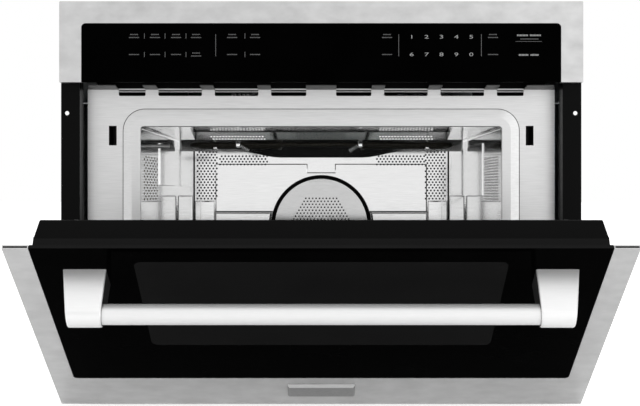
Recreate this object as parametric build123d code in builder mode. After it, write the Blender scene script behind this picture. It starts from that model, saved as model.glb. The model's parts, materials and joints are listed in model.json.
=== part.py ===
from build123d import *
import os
from math import cos, pi, radians, sin

os.makedirs("parts", exist_ok=True)

# Speed oven in millimetres. X runs to the right, Y into the oven and Z up.
# The origin is the centre of the casing's underside.

# Front faces
front_width = 595.0
front_height = 455.0
front_lift = 5.0
panel_height = 92.0
panel_gap = 4.0
door_height = front_height - panel_height - panel_gap
plate_top = front_lift + door_height
panel_band_side = 25.1
panel_band_top = 25.0
panel_corner = 5.0
panel_glass = 4.0
glass_nip = 1.0
glass_recess = 0.4
trim_depth = 12.0
trim_wall = 1.5
seat_gap = 0.2

# Casing
front_side_overhang = 19.0
front_top_overhang = 10.0
casing_width = front_width - 2 * front_side_overhang
casing_height = front_lift + front_height - front_top_overhang
casing_depth = 549.0
casing_sheet = 1.0
base_sheet = 1.5
base_lip = 20.0
vent_cut_length = 60.0
vent_cut_width = 5.0
vent_cut_pitch = 12.0
vent_cut_spacing = 78.0
side_vent_rows = 6
rear_vent_rows = 4
rear_vent_columns = 3

# Side flanges
flange_sheet = 1.5
flange_return = 24.0
flange_lift = 1.5
flange_top_gap = 4.0
flange_hole_radius = 2.4
flange_dimple_radius = 4.0
flange_dimple_depth = 0.6
flange_hole_inset = 6.8
flange_hole_low = 90.0
flange_hole_drop = 30.4
flange_hole_high = plate_top - flange_hole_drop

# Front plate round the cavity mouth
plate_setback = 44.0
plate_sheet = 1.2
plate_side_gap = 3.5
plate_bottom = 2.0
ledge_depth = 27.5
ledge_rise = 2.2
ledge_taper = 5.5
ledge_web = 0.5
emboss_depth = 1.5
emboss_border = 21.2
emboss_slope = 10.6
emboss_radius = 26.0
vent_first = 17.5
vent_widths = (40.9, 50.7, 50.7, 31.1)
vent_bridge = 15.1
vent_height = 6.8
vent_drop = 1.7
vent_radius = 1.6

# Cavity
mouth_side_margin = 68.0
mouth_top_margin = 44.5
mouth_floor = 74.5
mouth_width = casing_width - 2 * mouth_side_margin
mouth_height = plate_top - mouth_top_margin - mouth_floor
mouth_radius = 4.0
mouth_lip = 1.0
cavity_depth_margin = 133.0
cavity_depth = casing_depth - cavity_depth_margin
cavity_sheet = 1.0
side_pad_depth = 1.5
side_pad_start = 190.0
side_pad_end = 44.0
side_pad_length = cavity_depth - side_pad_start - side_pad_end
side_pad_drop = 67.5
side_pad_bottom = mouth_height - side_pad_drop
side_pad_height = 55.0
liner_pad_margin = 52.0
liner_pad_width = mouth_width - 2 * liner_pad_margin
liner_pad_drop = 105.5
liner_pad_bottom = mouth_height - liner_pad_drop
liner_pad_height = 69.0
liner_pad_depth = 2.0
liner_notch_width = 42.0
liner_notch_depth = 13.0
cove_height = 26.0
cove_depth = 4.5

# Convection fan and its cover
fan_drop = 2.0
fan_height = mouth_height / 2 - fan_drop
ring_radius = 73.0
ring_width = 5.5
ring_depth = 2.0
grille_sheet = 1.2
grille_opening = 60.0
grille_pitch = 5.0
grille_rings = 9
grille_hole_radius = 1.1
housing_width = 260.0
housing_height = 200.0
housing_depth = 50.0
housing_radius = 20.0
fan_radius = 66.0
fan_blades = 10
fan_blade_depth = 16.0
fan_blade_length = 24.0
fan_blade_sheet = 2.0
fan_disc_sheet = 1.5
fan_front_gap = 9.0
shaft_radius = 3.0
hub_radius = 12.0
shaft_hole_radius = 6.0
running_clearance = 0.05
motor_radius = 32.0
motor_length = 42.0
motor_plate_width = 84.0
motor_plate_height = 60.0
motor_plate_sheet = 3.0
ring_heater_radius = 84.0
ring_heater_tube = 3.25
ring_heater_sweep = 330.0

# Grill heater under the ceiling
grill_tube = 3.25
grill_drop = 11.5
grill_side_gap = 34.0
grill_half_width = mouth_width / 2 - grill_side_gap
grill_front_gap = 140.0
grill_rear_gap = 45.0
grill_front = cavity_depth - grill_front_gap
grill_rear = cavity_depth - grill_rear_gap
grill_leg_x = 60.0
grill_leg_out = 15.0
grill_bend = 18.0
clip_width = 8.0
clip_depth = 12.0
clip_wall = 1.2
clip_inset = 25.0
clip_rear_x = grill_half_width - clip_inset
clip_front_left = -113.0
clip_front_right = 53.0
clip_places = [(clip_front_left, grill_front), (clip_front_right, grill_front)]
clip_places += [(-clip_rear_x, grill_rear), (clip_rear_x, grill_rear)]
tube_clearance = 0.1

# Lamp and temperature probe
lamp_depth = 22.0
lamp_size = 50.0
lamp_start = 61.0
lamp_drop = 59.5
lamp_height = mouth_height - lamp_drop
lamp_sheet = 1.0
bulb_radius = 7.0
bulb_length = 28.0
probe_radius = 2.5
probe_reach = 24.0
probe_start = 103.0
probe_drop = 19.5
probe_height = mouth_height - probe_drop
probe_boss_radius = 6.0
probe_boss_length = 12.0

# Insulation
wool_top = 25.0
wool_side = 20.0
wool_floor = 25.0
wool_front_gap = 14.0
wool_rear_gap = 8.0
wool_clearance = 1.0

# Deck over the cavity
deck_gap = 1.0
deck_sheet = 1.2

# Microwave source
guide_width = 80.0
guide_end = 115.0
guide_start = cavity_depth - guide_end
guide_left = -55.0
guide_right = 105.0
guide_riser = 40.0
guide_riser_height = 78.0
guide_sheet = 1.0
port_width = 40.0
port_length = 66.0
port_margin = 5.0
mica_sheet = 1.0
mica_margin = 6.0
magnetron_length = 85.0
magnetron_size = 78.0
magnetron_fins = 7
magnetron_fin_gap = 6.0
magnetron_fin_depth = 12.0
antenna_radius = 7.0
antenna_length = 24.0

# Boards
board_sheet = 1.6
standoff_height = 6.0
standoff_radius = 4.0
standoff_inset = 8.0
inverter_width = 150.0
inverter_length = 130.0
inverter_x = -165.0
inverter_end = 116.0
inverter_start = cavity_depth - inverter_end
sink_width = 50.0
sink_length = 65.0
sink_height = 40.0
sink_base = 5.0
sink_fins = 8
sink_x = -127.5
coil_x = -195.0
coil_radius = 28.0
coil_height = 45.0
power_width = 130.0
power_length = 90.0
power_x = -170.0
power_end = 266.0
power_start = cavity_depth - power_end
relay_size = 22.0
relay_height = 18.0
relay_pitch = 28.6
relay_count = 4

# Cooling blower and duct
blower_end = 226.0
blower_start = cavity_depth - blower_end
blower_radius = 78.0
blower_height = 46.0
blower_sheet = 1.5
blower_inlet = 48.0
blower_nozzle = 110.0
blower_reach = 95.0
wheel_radius = 60.0
wheel_height = 36.0
wheel_blades = 24
wheel_blade_length = 14.0
wheel_blade_sheet = 1.5
wheel_gap = 3.5
blower_motor_radius = 28.0
blower_motor_height = 34.0
blower_bar_width = 22.0
blower_bar_sheet = 3.0
duct_side_gap = 33.5
duct_width = casing_width - 2 * duct_side_gap
duct_height = 17.0
duct_sheet = 1.0
duct_straight = 30.0

# Control panel inside
tray_wall = 2.0
tray_depth = 30.0
tray_inset = 4.0
display_width = 84.0
display_height = 34.0
display_depth = 9.0
display_x = 4.0
touch_margin = 62.5
touch_width = front_width - 2 * touch_margin
touch_height = 52.0

# Turntable
plate_wall_gap = 28.5
plate_radius = (mouth_width + cavity_depth) / 4 - plate_wall_gap
plate_thickness = 5.0
plate_rim = 9.0
plate_rim_wall = 4.0
roller_radius = 8.0
roller_width = 9.0
roller_orbit = 132.0
roller_count = 3
track_gap = 0.2
ring_inner = 108.0
ring_outer = 122.0
ring_thickness = 6.0
axle_radius = 2.5
coupler_radius = 13.0
coupler_height = 8.0
coupler_lobes = 3
lobe_radius = 4.5
drive_radius = 4.0
drive_hole_radius = 9.0
boss_wall = 4.0
table_motor_radius = 26.0
table_motor_height = 20.0
table_motor_plate = 1.5
table_motor_width = 80.0
table_plate_width = 36.4

# Door
door_panel = 4.0
door_thickness = 42.0
door_band_side = 24.7
door_band_bottom = 70.0
door_corner = 5.0
door_open = 58.0
hinge_inset = 11.7
frame_side_gap = 3.5
frame_top_drop = 14.5
frame_bottom_gap = 9.0
frame_step = 17.0
frame_shoulder = 1.5
frame_taper = 4.0
frame_wall = 2.5
frame_corner = 3.0
window_margin = 19.0
window_width = mouth_width - 2 * window_margin
window_bottom = 45.0
window_drop = 47.8
inner_glass_sheet = 4.0
choke_sheet = 1.0
choke_rim = 16.0
choke_side_gap = 43.5
choke_width = casing_width - 2 * choke_side_gap
choke_bottom = 22.0
choke_drop = 14.8

# Handle
bar_radius = 10.0
bar_standoff = 40.0
bar_drop = 56.5
bar_height = door_height - bar_drop
bar_wall = 1.5
bar_socket = 12.0
post_inset = 92.5
post_inner = front_width / 2 - post_inset
post_width = 41.7
post_foot = 33.0
post_nose = 12.5
post_inner_taper = 2.5
post_outer_taper = 6.5
post_edge = 2.0
post_screw_radius = 2.5
post_screw_head = 5.0
post_screw_head_height = 3.0
post_screw_bite = 14.0
post_screw_pitch = 15.0
screw_clearance = 0.5

# Blank name plate
badge_width = 75.0
badge_bottom = 27.8
badge_height = 27.4
badge_depth = 4.0
badge_bevel = 2.0

# Hinges
hinge_side_gap = 23.0
hinge_x = casing_width / 2 - hinge_side_gap
channel_width = 15.0
channel_wall = 1.5
channel_length = 190.0
channel_depth = 31.0
channel_ear = 8.0
channel_web_start = 11.0
claw_width = 10.0
claw_radius = 7.0
claw_foot_start = 6.0
claw_foot_length = 60.0
claw_slot_gap = 1.0
hinge_pin_radius = 3.0
pin_head_radius = 4.5
pin_head = 1.2

# Latch hooks and door switches
latch_side_gap = 37.0
latch_x = casing_width / 2 - latch_side_gap
latch_sheet = 4.0
latch_drop = 51.0
latch_top = plate_top - latch_drop
latch_bar = 10.0
latch_nose = 3.0
latch_nose_length = 8.0
latch_reach = 22.0
latch_pivot_depth = 15.0
latch_pin_radius = 2.0
latch_cheek = 2.5
latch_cheek_gap = 0.8
latch_cheek_size = 20.0
latch_slot_width = 9.0
latch_slot_shift = 1.8
latch_slot_x = latch_x + latch_slot_shift
latch_slot_drop = 43.4
latch_slot_height = 22.8
latch_slot_high = plate_top - latch_slot_drop
latch_slot_low = latch_slot_high - latch_slot_height
latch_frame_gap = 6.0
bracket_wall = 5.0
bracket_length = 53.0
bracket_pocket = 36.0
bracket_margin = 6.0
switch_width = 6.5
switch_length = 28.0
switch_height = 16.0
switch_pitch = 18.0

# Rear services and screws
gland_x = -200.0
gland_lift = 37.3
gland_radius = 9.0
gland_bore = 4.5
gland_reach = 12.0
terminal_width = 60.0
terminal_height = 40.0
terminal_depth = 38.0
screw_radius = 2.0
screw_length = 8.0
screw_head_radius = 4.0
screw_head_height = 2.4
screw_inset = 12.0

# Depths of the main planes
casing_front = -casing_depth / 2
casing_rear = casing_depth / 2
flange_front = casing_front - flange_sheet
face_y = flange_front - trim_depth
plate_front = face_y + plate_setback
field_front = plate_front + emboss_depth
plate_back = field_front + plate_sheet
liner_front = plate_front + cavity_depth
liner_back = liner_front + cavity_sheet
rear_inner = casing_rear - casing_sheet

# Heights of the main planes
panel_top = front_lift + front_height
panel_low = panel_top - panel_height
mouth_top = mouth_floor + mouth_height
mouth_centre = mouth_floor + mouth_height / 2
ceiling_outer = mouth_top + cavity_sheet
floor_under = mouth_floor - cavity_sheet
deck_low = ceiling_outer + wool_top + deck_gap
deck_top = deck_low + deck_sheet
fan_z = mouth_floor + fan_height
gland_z = deck_top + gland_lift

# Half widths
front_half = front_width / 2
casing_half = casing_width / 2
inner_half = casing_half - casing_sheet
recess_half = inner_half - flange_sheet
plate_half = recess_half - plate_side_gap
mouth_half = mouth_width / 2
cavity_outer_half = mouth_half + cavity_sheet


def facing(y):
    """A plane at depth y that faces the viewer, drawn in X and Z."""
    return Plane.XZ.offset(-y)


def level(z):
    """A level plane at height z, drawn in X and Y."""
    return Plane.XY.offset(z)


def upright(x):
    """A plane at x that faces right, drawn in Y and Z."""
    return Plane.YZ.offset(x)


# Door frame of reference: the origin is the hinge axis, with the door part open
pivot_y = face_y + hinge_inset
pivot_z = front_lift + hinge_inset
door_out = Vector(0, -cos(radians(door_open)), -sin(radians(door_open)))
door_plane = Plane(origin=(0, pivot_y, pivot_z), x_dir=(1, 0, 0), z_dir=door_out)


def door_face(out):
    """A plane parallel to the door, this far outside the hinge axis, drawn in X and up the door."""
    return door_plane.offset(out)


def door_side(x):
    """A plane across the door at x, drawn in outward distance and up the door."""
    return Plane(origin=(x, pivot_y, pivot_z), x_dir=door_out, z_dir=(-1, 0, 0))


def door_point(out, up):
    """The Y and Z of a place on the door, from its outward distance and its height up the door."""
    rise = cos(radians(door_open))
    lean = sin(radians(door_open))
    return (pivot_y - out * rise - up * lean, pivot_z - out * lean + up * rise)


door_outer = hinge_inset
flange_bottom = pivot_z + flange_lift
door_panel_back = door_outer - door_panel
door_inner = door_outer - door_thickness
door_low = -hinge_inset
door_top = door_height - hinge_inset
frame_low = frame_bottom_gap
frame_top = door_top - frame_top_drop
frame_half = recess_half - frame_side_gap
window_top = frame_top - window_drop
choke_top = frame_top - choke_drop
step_back = door_panel_back - frame_step

# Places of the casing screws
screw_spots = []
for side in (-1, 1):
    for height in (screw_inset, casing_height / 2, casing_height - screw_inset):
        screw_spots.append((side * (casing_half - screw_inset), height))

# Base pan: floor, lips, notches for the hinge claws and screw holes
base_length = rear_inner - plate_back
base_centre = (rear_inner + plate_back) / 2
claw_slot_width = claw_width + 2 * claw_slot_gap
with BuildPart() as base_pan:
    with BuildSketch(level(0)):
        with Locations((0, base_centre)):
            Rectangle(2 * inner_half, base_length)
    extrude(amount=base_lip)
    with BuildSketch(level(base_sheet)):
        with Locations((0, base_centre)):
            Rectangle(2 * (inner_half - casing_sheet), base_length - 2 * casing_sheet)
    extrude(amount=base_lip, mode=Mode.SUBTRACT)
    with BuildSketch(level(base_sheet)):
        with Locations((-hinge_x, plate_back), (hinge_x, plate_back)):
            Rectangle(claw_slot_width, 4 * casing_sheet)
    extrude(amount=base_lip, mode=Mode.SUBTRACT)
    with BuildSketch(facing(rear_inner)):
        with Locations(*[spot for spot in screw_spots if spot[1] < base_lip]):
            Circle(screw_radius + running_clearance)
    extrude(amount=casing_sheet, mode=Mode.SUBTRACT)
base_pan.part.label = "base_pan"
export_step(base_pan.part, "parts/base_pan.step")

# Outer cover: top and sides in one folded sheet, with cooling slots and room for the door's lower edge
cover_depth = casing_depth - casing_sheet
side_vent_y = casing_rear - 2 * vent_cut_length
with BuildPart() as outer_cover:
    with BuildSketch(facing(rear_inner)):
        with Locations((0, casing_height / 2)):
            Rectangle(casing_width, casing_height)
        with Locations((0, (casing_height - casing_sheet) / 2)):
            Rectangle(2 * inner_half, casing_height - casing_sheet, mode=Mode.SUBTRACT)
    extrude(amount=cover_depth)
    with BuildSketch(upright(-casing_half)):
        with Locations((side_vent_y, casing_height - side_vent_rows * vent_cut_pitch)):
            with GridLocations(vent_cut_length, vent_cut_pitch, 1, side_vent_rows):
                SlotOverall(vent_cut_length, vent_cut_width)
    extrude(amount=casing_width, mode=Mode.SUBTRACT)
    with BuildSketch(upright(-casing_half)):
        with Locations(((casing_front + plate_back) / 2, flange_bottom / 2)):
            Rectangle(plate_back - casing_front, flange_bottom)
    extrude(amount=casing_width, mode=Mode.SUBTRACT)
outer_cover.part.label = "outer_cover"
export_step(outer_cover.part, "parts/outer_cover.step")

# Rear panel: cooling slots, cord gland hole and screw holes
with BuildPart() as rear_panel:
    with BuildSketch(facing(casing_rear)):
        with Locations((0, casing_height / 2)):
            Rectangle(casing_width, casing_height)
        with Locations((0, casing_height - rear_vent_rows * vent_cut_pitch)):
            with GridLocations(vent_cut_spacing, vent_cut_pitch, rear_vent_columns, rear_vent_rows):
                SlotOverall(vent_cut_length, vent_cut_width, mode=Mode.SUBTRACT)
        with Locations((gland_x, gland_z)):
            Circle(gland_radius + running_clearance, mode=Mode.SUBTRACT)
        with Locations(*screw_spots):
            Circle(screw_radius + running_clearance, mode=Mode.SUBTRACT)
    extrude(amount=casing_sheet)
rear_panel.part.label = "rear_panel"
export_step(rear_panel.part, "parts/rear_panel.step")

# Casing screws: six alike on the rear panel
with BuildPart() as casing_screws:
    with BuildSketch(facing(casing_rear + screw_head_height)):
        with Locations(*screw_spots):
            Circle(screw_head_radius)
    extrude(amount=screw_head_height)
    with BuildSketch(facing(casing_rear)):
        with Locations(*screw_spots):
            Circle(screw_radius)
    extrude(amount=screw_length)
casing_screws.part.label = "casing_screws"
export_step(casing_screws.part, "parts/casing_screws.step")

# Front plate: field, raised frame with sloped sides, cavity mouth, vent, latch and hinge slots, and top ledge
vent_spots = []
vent_edge = vent_first
for width in vent_widths:
    vent_spots.append((vent_edge + width / 2, width))
    vent_edge += width + vent_bridge
vent_top = plate_top - vent_drop
latch_slot_centre = (latch_slot_low + latch_slot_high) / 2
emboss_land = emboss_border - emboss_slope
emboss_inner_radius = emboss_radius - emboss_slope
emboss_width = mouth_width + 2 * emboss_land
emboss_height = mouth_height + 2 * emboss_land
ledge_low = plate_top - plate_sheet
ledge_front = field_front - ledge_depth
with BuildPart() as front_plate:
    with BuildSketch(facing(plate_back)):
        with Locations((0, (plate_top + plate_bottom) / 2)):
            Rectangle(2 * plate_half, plate_top - plate_bottom)
    extrude(amount=plate_sheet)
    with BuildSketch(facing(field_front)):
        with Locations((0, mouth_centre)):
            RectangleRounded(mouth_width + 2 * emboss_border, mouth_height + 2 * emboss_border, emboss_radius)
    with BuildSketch(facing(plate_front)):
        with Locations((0, mouth_centre)):
            RectangleRounded(emboss_width, emboss_height, emboss_inner_radius)
    loft()
    with BuildSketch(upright(-plate_half)):
        Polygon(
            (field_front, ledge_low),
            (field_front, plate_top),
            (ledge_front, plate_top + ledge_rise),
            (ledge_front, ledge_low + ledge_rise),
            align=None,
        )
    extrude(amount=2 * plate_half)
    with BuildSketch(level(ledge_low)):
        for side in (-1, 1):
            Polygon(
                (side * plate_half, field_front),
                (side * plate_half, ledge_front),
                (side * (plate_half - ledge_taper), ledge_front),
                align=None,
            )
    extrude(amount=plate_sheet + ledge_rise, mode=Mode.SUBTRACT)
    with BuildSketch(facing(plate_back)):
        with Locations((0, mouth_centre)):
            RectangleRounded(mouth_width, mouth_height, mouth_radius)
        for side in (-1, 1):
            for centre, width in vent_spots:
                with Locations((side * centre, vent_top - vent_height / 2)):
                    RectangleRounded(width, vent_height, vent_radius)
                with Locations((side * centre, vent_top - vent_height / 4)):
                    Rectangle(width, vent_height / 2)
            with Locations((side * latch_slot_x, latch_slot_centre)):
                Rectangle(latch_slot_width, latch_slot_high - latch_slot_low)
            with Locations((side * hinge_x, pivot_z)):
                Rectangle(claw_slot_width, 2 * (claw_radius + claw_slot_gap))
    extrude(amount=plate_sheet + emboss_depth, mode=Mode.SUBTRACT)
    with BuildSketch(level(ledge_low)):
        for side in (-1, 1):
            for centre, width in vent_spots:
                with Locations((side * centre, ledge_front + (ledge_depth - ledge_web) / 2)):
                    Rectangle(width, ledge_depth - ledge_web)
    extrude(amount=plate_sheet + ledge_rise, mode=Mode.SUBTRACT)
    front_edges = front_plate.edges().filter_by(lambda edge: edge.center().Y < plate_front + mouth_lip / 2)
    mouth_edges = front_edges.filter_by(
        lambda edge: abs(edge.center().X) < mouth_half + mouth_lip
        and abs(edge.center().Z - mouth_centre) < mouth_height / 2 + mouth_lip
    )
    fillet(mouth_edges, mouth_lip)
front_plate.part.label = "front_plate"
export_step(front_plate.part, "parts/front_plate.step")

# Side flanges: face strip with screw holes, and a return along the recess
flange_top = casing_height - flange_top_gap
flange_hole_x = front_half - flange_hole_inset
for side, name in ((-1, "flange_left"), (1, "flange_right")):
    with BuildPart() as flange:
        with BuildSketch(level(flange_bottom)):
            with Locations((side * (front_half + recess_half) / 2, flange_front + flange_sheet / 2)):
                Rectangle(front_half - recess_half, flange_sheet)
            with Locations((side * (recess_half + flange_sheet / 2), flange_front + flange_return / 2)):
                Rectangle(flange_sheet, flange_return)
        extrude(amount=flange_top - flange_bottom)
        with BuildSketch(facing(casing_front)):
            with Locations((side * flange_hole_x, flange_hole_low), (side * flange_hole_x, flange_hole_high)):
                Circle(flange_hole_radius)
        extrude(amount=flange_sheet, mode=Mode.SUBTRACT)
        with BuildSketch(facing(flange_front + flange_dimple_depth)):
            with Locations((side * flange_hole_x, flange_hole_low), (side * flange_hole_x, flange_hole_high)):
                Circle(flange_dimple_radius)
        extrude(amount=flange_dimple_depth, mode=Mode.SUBTRACT)
    flange.part.label = name
    export_step(flange.part, f"parts/{name}.step")

# Cavity shell: floor, ceiling and side walls, with pressed side pads, ports and holes
table_y = (plate_back + liner_front) / 2
port_centre_x = guide_left + port_margin + port_width / 2
guide_centre_y = plate_front + guide_start + guide_width / 2
probe_y = plate_front + probe_start
probe_z = mouth_floor + probe_height
lamp_y = plate_front + lamp_start
lamp_z = mouth_floor + lamp_height
side_pad_y = plate_front + side_pad_start + side_pad_length / 2
cavity_outer_width = mouth_width + 2 * cavity_sheet
cavity_outer_height = mouth_height + 2 * cavity_sheet
cavity_outer_radius = mouth_radius + cavity_sheet
with BuildPart() as cavity_shell:
    with BuildSketch(facing(liner_front)):
        with Locations((0, mouth_centre)):
            RectangleRounded(cavity_outer_width, cavity_outer_height, cavity_outer_radius)
            RectangleRounded(mouth_width, mouth_height, mouth_radius, mode=Mode.SUBTRACT)
    extrude(amount=liner_front - plate_back)
    with BuildSketch(level(mouth_floor + side_pad_bottom)):
        for side in (-1, 1):
            with Locations((side * (mouth_half - side_pad_depth / 2), side_pad_y)):
                Rectangle(side_pad_depth, side_pad_length)
    extrude(amount=side_pad_height)
    with BuildSketch(level(floor_under)):
        with Locations((0, table_y)):
            Circle(drive_hole_radius)
    extrude(amount=cavity_sheet, mode=Mode.SUBTRACT)
    with BuildSketch(level(mouth_top)):
        with Locations((port_centre_x, guide_centre_y)):
            Rectangle(port_width, port_length)
    extrude(amount=cavity_sheet, mode=Mode.SUBTRACT)
    with BuildSketch(upright(-cavity_outer_half)):
        with Locations((probe_y, probe_z)):
            Circle(probe_radius + tube_clearance)
    extrude(amount=cavity_sheet, mode=Mode.SUBTRACT)
cavity_shell.part.label = "cavity_shell"
export_step(cavity_shell.part, "parts/cavity_shell.step")

# Rear liner: closes the cavity, with a sloped cove at the top, a raised pad and the fan opening
grill_z = mouth_top - grill_drop
with BuildPart() as rear_liner:
    with BuildSketch(facing(liner_back)):
        with Locations((0, mouth_centre)):
            RectangleRounded(cavity_outer_width, cavity_outer_height, cavity_outer_radius)
    extrude(amount=cavity_sheet)
    with BuildSketch(facing(liner_front)):
        with Locations((0, mouth_floor + liner_pad_bottom + liner_pad_height / 2)):
            RectangleRounded(liner_pad_width, liner_pad_height, mouth_radius)
        with Locations((0, mouth_floor + liner_pad_bottom + liner_pad_height - liner_notch_depth / 2)):
            Rectangle(liner_notch_width, liner_notch_depth, mode=Mode.SUBTRACT)
    extrude(amount=liner_pad_depth)
    with BuildSketch(facing(liner_back)):
        with Locations((0, fan_z)):
            Circle(grille_opening)
    extrude(amount=cavity_sheet + liner_pad_depth, mode=Mode.SUBTRACT)
    with BuildSketch(facing(liner_front)):
        with Locations((0, fan_z)):
            Circle(ring_radius + seat_gap)
    extrude(amount=liner_pad_depth, mode=Mode.SUBTRACT)
    with BuildSketch(upright(mouth_radius - mouth_half)):
        Polygon(
            (liner_front, mouth_top - cove_height),
            (liner_front, mouth_top),
            (liner_front - cove_depth, mouth_top),
            align=None,
        )
    extrude(amount=mouth_width - 2 * mouth_radius)
    with BuildSketch(facing(liner_back)):
        with Locations((-grill_leg_x, grill_z), (grill_leg_x, grill_z)):
            Circle(grill_tube + tube_clearance)
    extrude(amount=cavity_sheet + cove_depth, mode=Mode.SUBTRACT)
rear_liner.part.label = "rear_liner"
export_step(rear_liner.part, "parts/rear_liner.step")

# Black ring round the fan cover
with BuildPart() as fan_ring:
    with BuildSketch(facing(liner_front)):
        with Locations((0, fan_z)):
            Circle(ring_radius)
            Circle(ring_radius - ring_width, mode=Mode.SUBTRACT)
    extrude(amount=ring_depth)
    fillet(fan_ring.edges().group_by(Axis.Y)[0], ring_depth / 3)
fan_ring.part.label = "fan_ring"
export_step(fan_ring.part, "parts/fan_ring.step")

# Fan cover: a disc with a six-sided field of holes
grille_spots = []
for row in range(-grille_rings, grille_rings + 1):
    row_count = 2 * grille_rings + 1 - abs(row)
    for column in range(row_count):
        hole_x = (column - (row_count - 1) / 2) * grille_pitch
        grille_spots.append((hole_x, fan_z + row * grille_pitch * sin(pi / 3)))
with BuildPart() as fan_grille:
    with BuildSketch(facing(liner_front)):
        with Locations((0, fan_z)):
            Circle(ring_radius - ring_width - seat_gap)
        with Locations(*grille_spots):
            Circle(grille_hole_radius, mode=Mode.SUBTRACT)
    extrude(amount=grille_sheet)
fan_grille.part.label = "fan_grille"
export_step(fan_grille.part, "parts/fan_grille.step")

# Convection housing behind the rear liner
housing_back = liner_back + housing_depth
ring_gap_angle = (360 - ring_heater_sweep) / 2
ring_leg_x = ring_heater_radius * sin(radians(ring_gap_angle))
ring_leg_z = fan_z - ring_heater_radius * cos(radians(ring_gap_angle))
housing_inner_width = housing_width - 2 * cavity_sheet
housing_inner_height = housing_height - 2 * cavity_sheet
with BuildPart() as convection_housing:
    with BuildSketch(facing(housing_back)):
        with Locations((0, fan_z)):
            RectangleRounded(housing_width, housing_height, housing_radius)
    extrude(amount=housing_depth)
    with BuildSketch(facing(housing_back - cavity_sheet)):
        with Locations((0, fan_z)):
            RectangleRounded(housing_inner_width, housing_inner_height, housing_radius - cavity_sheet)
    extrude(amount=housing_depth, mode=Mode.SUBTRACT)
    with BuildSketch(facing(housing_back)):
        with Locations((0, fan_z)):
            Circle(shaft_hole_radius)
        with Locations((-ring_leg_x, ring_leg_z), (ring_leg_x, ring_leg_z)):
            Circle(ring_heater_tube + tube_clearance)
    extrude(amount=cavity_sheet, mode=Mode.SUBTRACT)
convection_housing.part.label = "convection_housing"
export_step(convection_housing.part, "parts/convection_housing.step")

# Ring heater round the fan, with two legs through the housing
ring_heater_y = liner_back + housing_depth / 2
with BuildPart() as ring_heater:
    with BuildLine(facing(ring_heater_y)) as ring_path:
        CenterArc((0, fan_z), ring_heater_radius, 270 + ring_gap_angle, ring_heater_sweep)
    with BuildSketch(Plane(origin=ring_path.line @ 0, z_dir=ring_path.line % 0)):
        Circle(ring_heater_tube)
    sweep(path=ring_path.line)
    with BuildSketch(facing(housing_back + ring_heater_tube)):
        with Locations((-ring_leg_x, ring_leg_z), (ring_leg_x, ring_leg_z)):
            Circle(ring_heater_tube)
    extrude(amount=housing_back - ring_heater_y + ring_heater_tube)
ring_heater.part.label = "ring_heater"
export_step(ring_heater.part, "parts/ring_heater.step")

# Convection motor: mounting plate, can and blind shaft bore
motor_back = housing_back + motor_plate_sheet + motor_length
with BuildPart() as convection_motor:
    with BuildSketch(facing(housing_back + motor_plate_sheet)):
        with Locations((0, fan_z)):
            RectangleRounded(motor_plate_width, motor_plate_height, mouth_radius)
    extrude(amount=motor_plate_sheet)
    with BuildSketch(facing(motor_back)):
        with Locations((0, fan_z)):
            Circle(motor_radius)
    extrude(amount=motor_length)
    with BuildSketch(facing(motor_back - motor_plate_sheet)):
        with Locations((0, fan_z)):
            Circle(shaft_radius + running_clearance)
    extrude(amount=motor_length, mode=Mode.SUBTRACT)
convection_motor.part.label = "convection_motor"
export_step(convection_motor.part, "parts/convection_motor.step")

# Convection fan: disc, hub, blades and shaft
fan_blade_front = liner_back + fan_front_gap
fan_disc_front = fan_blade_front + fan_blade_depth
shaft_end = motor_back - 2 * motor_plate_sheet
blade_orbit = fan_radius - fan_blade_length / 2
with BuildPart() as convection_fan:
    with BuildSketch(facing(fan_disc_front + fan_disc_sheet)):
        with Locations((0, fan_z)):
            Circle(fan_radius)
    extrude(amount=fan_disc_sheet)
    with BuildSketch(facing(fan_disc_front)):
        with Locations((0, fan_z)):
            Circle(hub_radius)
            with PolarLocations(blade_orbit, fan_blades):
                Rectangle(fan_blade_length, fan_blade_sheet)
    extrude(amount=fan_blade_depth)
    with BuildSketch(facing(shaft_end)):
        with Locations((0, fan_z)):
            Circle(shaft_radius)
    extrude(amount=shaft_end - fan_disc_front)
convection_fan.part.label = "convection_fan"
export_step(convection_fan.part, "parts/convection_fan.step")

# Grill heater: a bent tube under the ceiling with both legs through the rear liner
grill_front_y = plate_front + grill_front
grill_rear_y = plate_front + grill_rear
with BuildPart() as grill_heater:
    with BuildLine(level(grill_z)) as grill_path:
        FilletPolyline(
            (-grill_leg_x, liner_back + grill_leg_out),
            (-grill_leg_x, grill_rear_y),
            (-grill_half_width, grill_rear_y),
            (-grill_half_width, grill_front_y),
            (grill_half_width, grill_front_y),
            (grill_half_width, grill_rear_y),
            (grill_leg_x, grill_rear_y),
            (grill_leg_x, liner_back + grill_leg_out),
            radius=grill_bend,
        )
    with BuildSketch(Plane(origin=grill_path.line @ 0, z_dir=grill_path.line % 0)):
        Circle(grill_tube)
    sweep(path=grill_path.line)
grill_heater.part.label = "grill_heater"
export_step(grill_heater.part, "parts/grill_heater.step")

# Grill clips: straps from the ceiling round the tube
clip_low = grill_z - grill_tube - tube_clearance - clip_wall
with BuildPart() as grill_clips:
    for clip_x, clip_start in clip_places:
        with BuildSketch(upright(clip_x - clip_width / 2)):
            with Locations((plate_front + clip_start, (clip_low + mouth_top) / 2)):
                Rectangle(clip_depth, mouth_top - clip_low)
            with Locations((plate_front + clip_start, grill_z)):
                Circle(grill_tube + tube_clearance, mode=Mode.SUBTRACT)
        extrude(amount=clip_width)
grill_clips.part.label = "grill_clips"
export_step(grill_clips.part, "parts/grill_clips.step")

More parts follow.
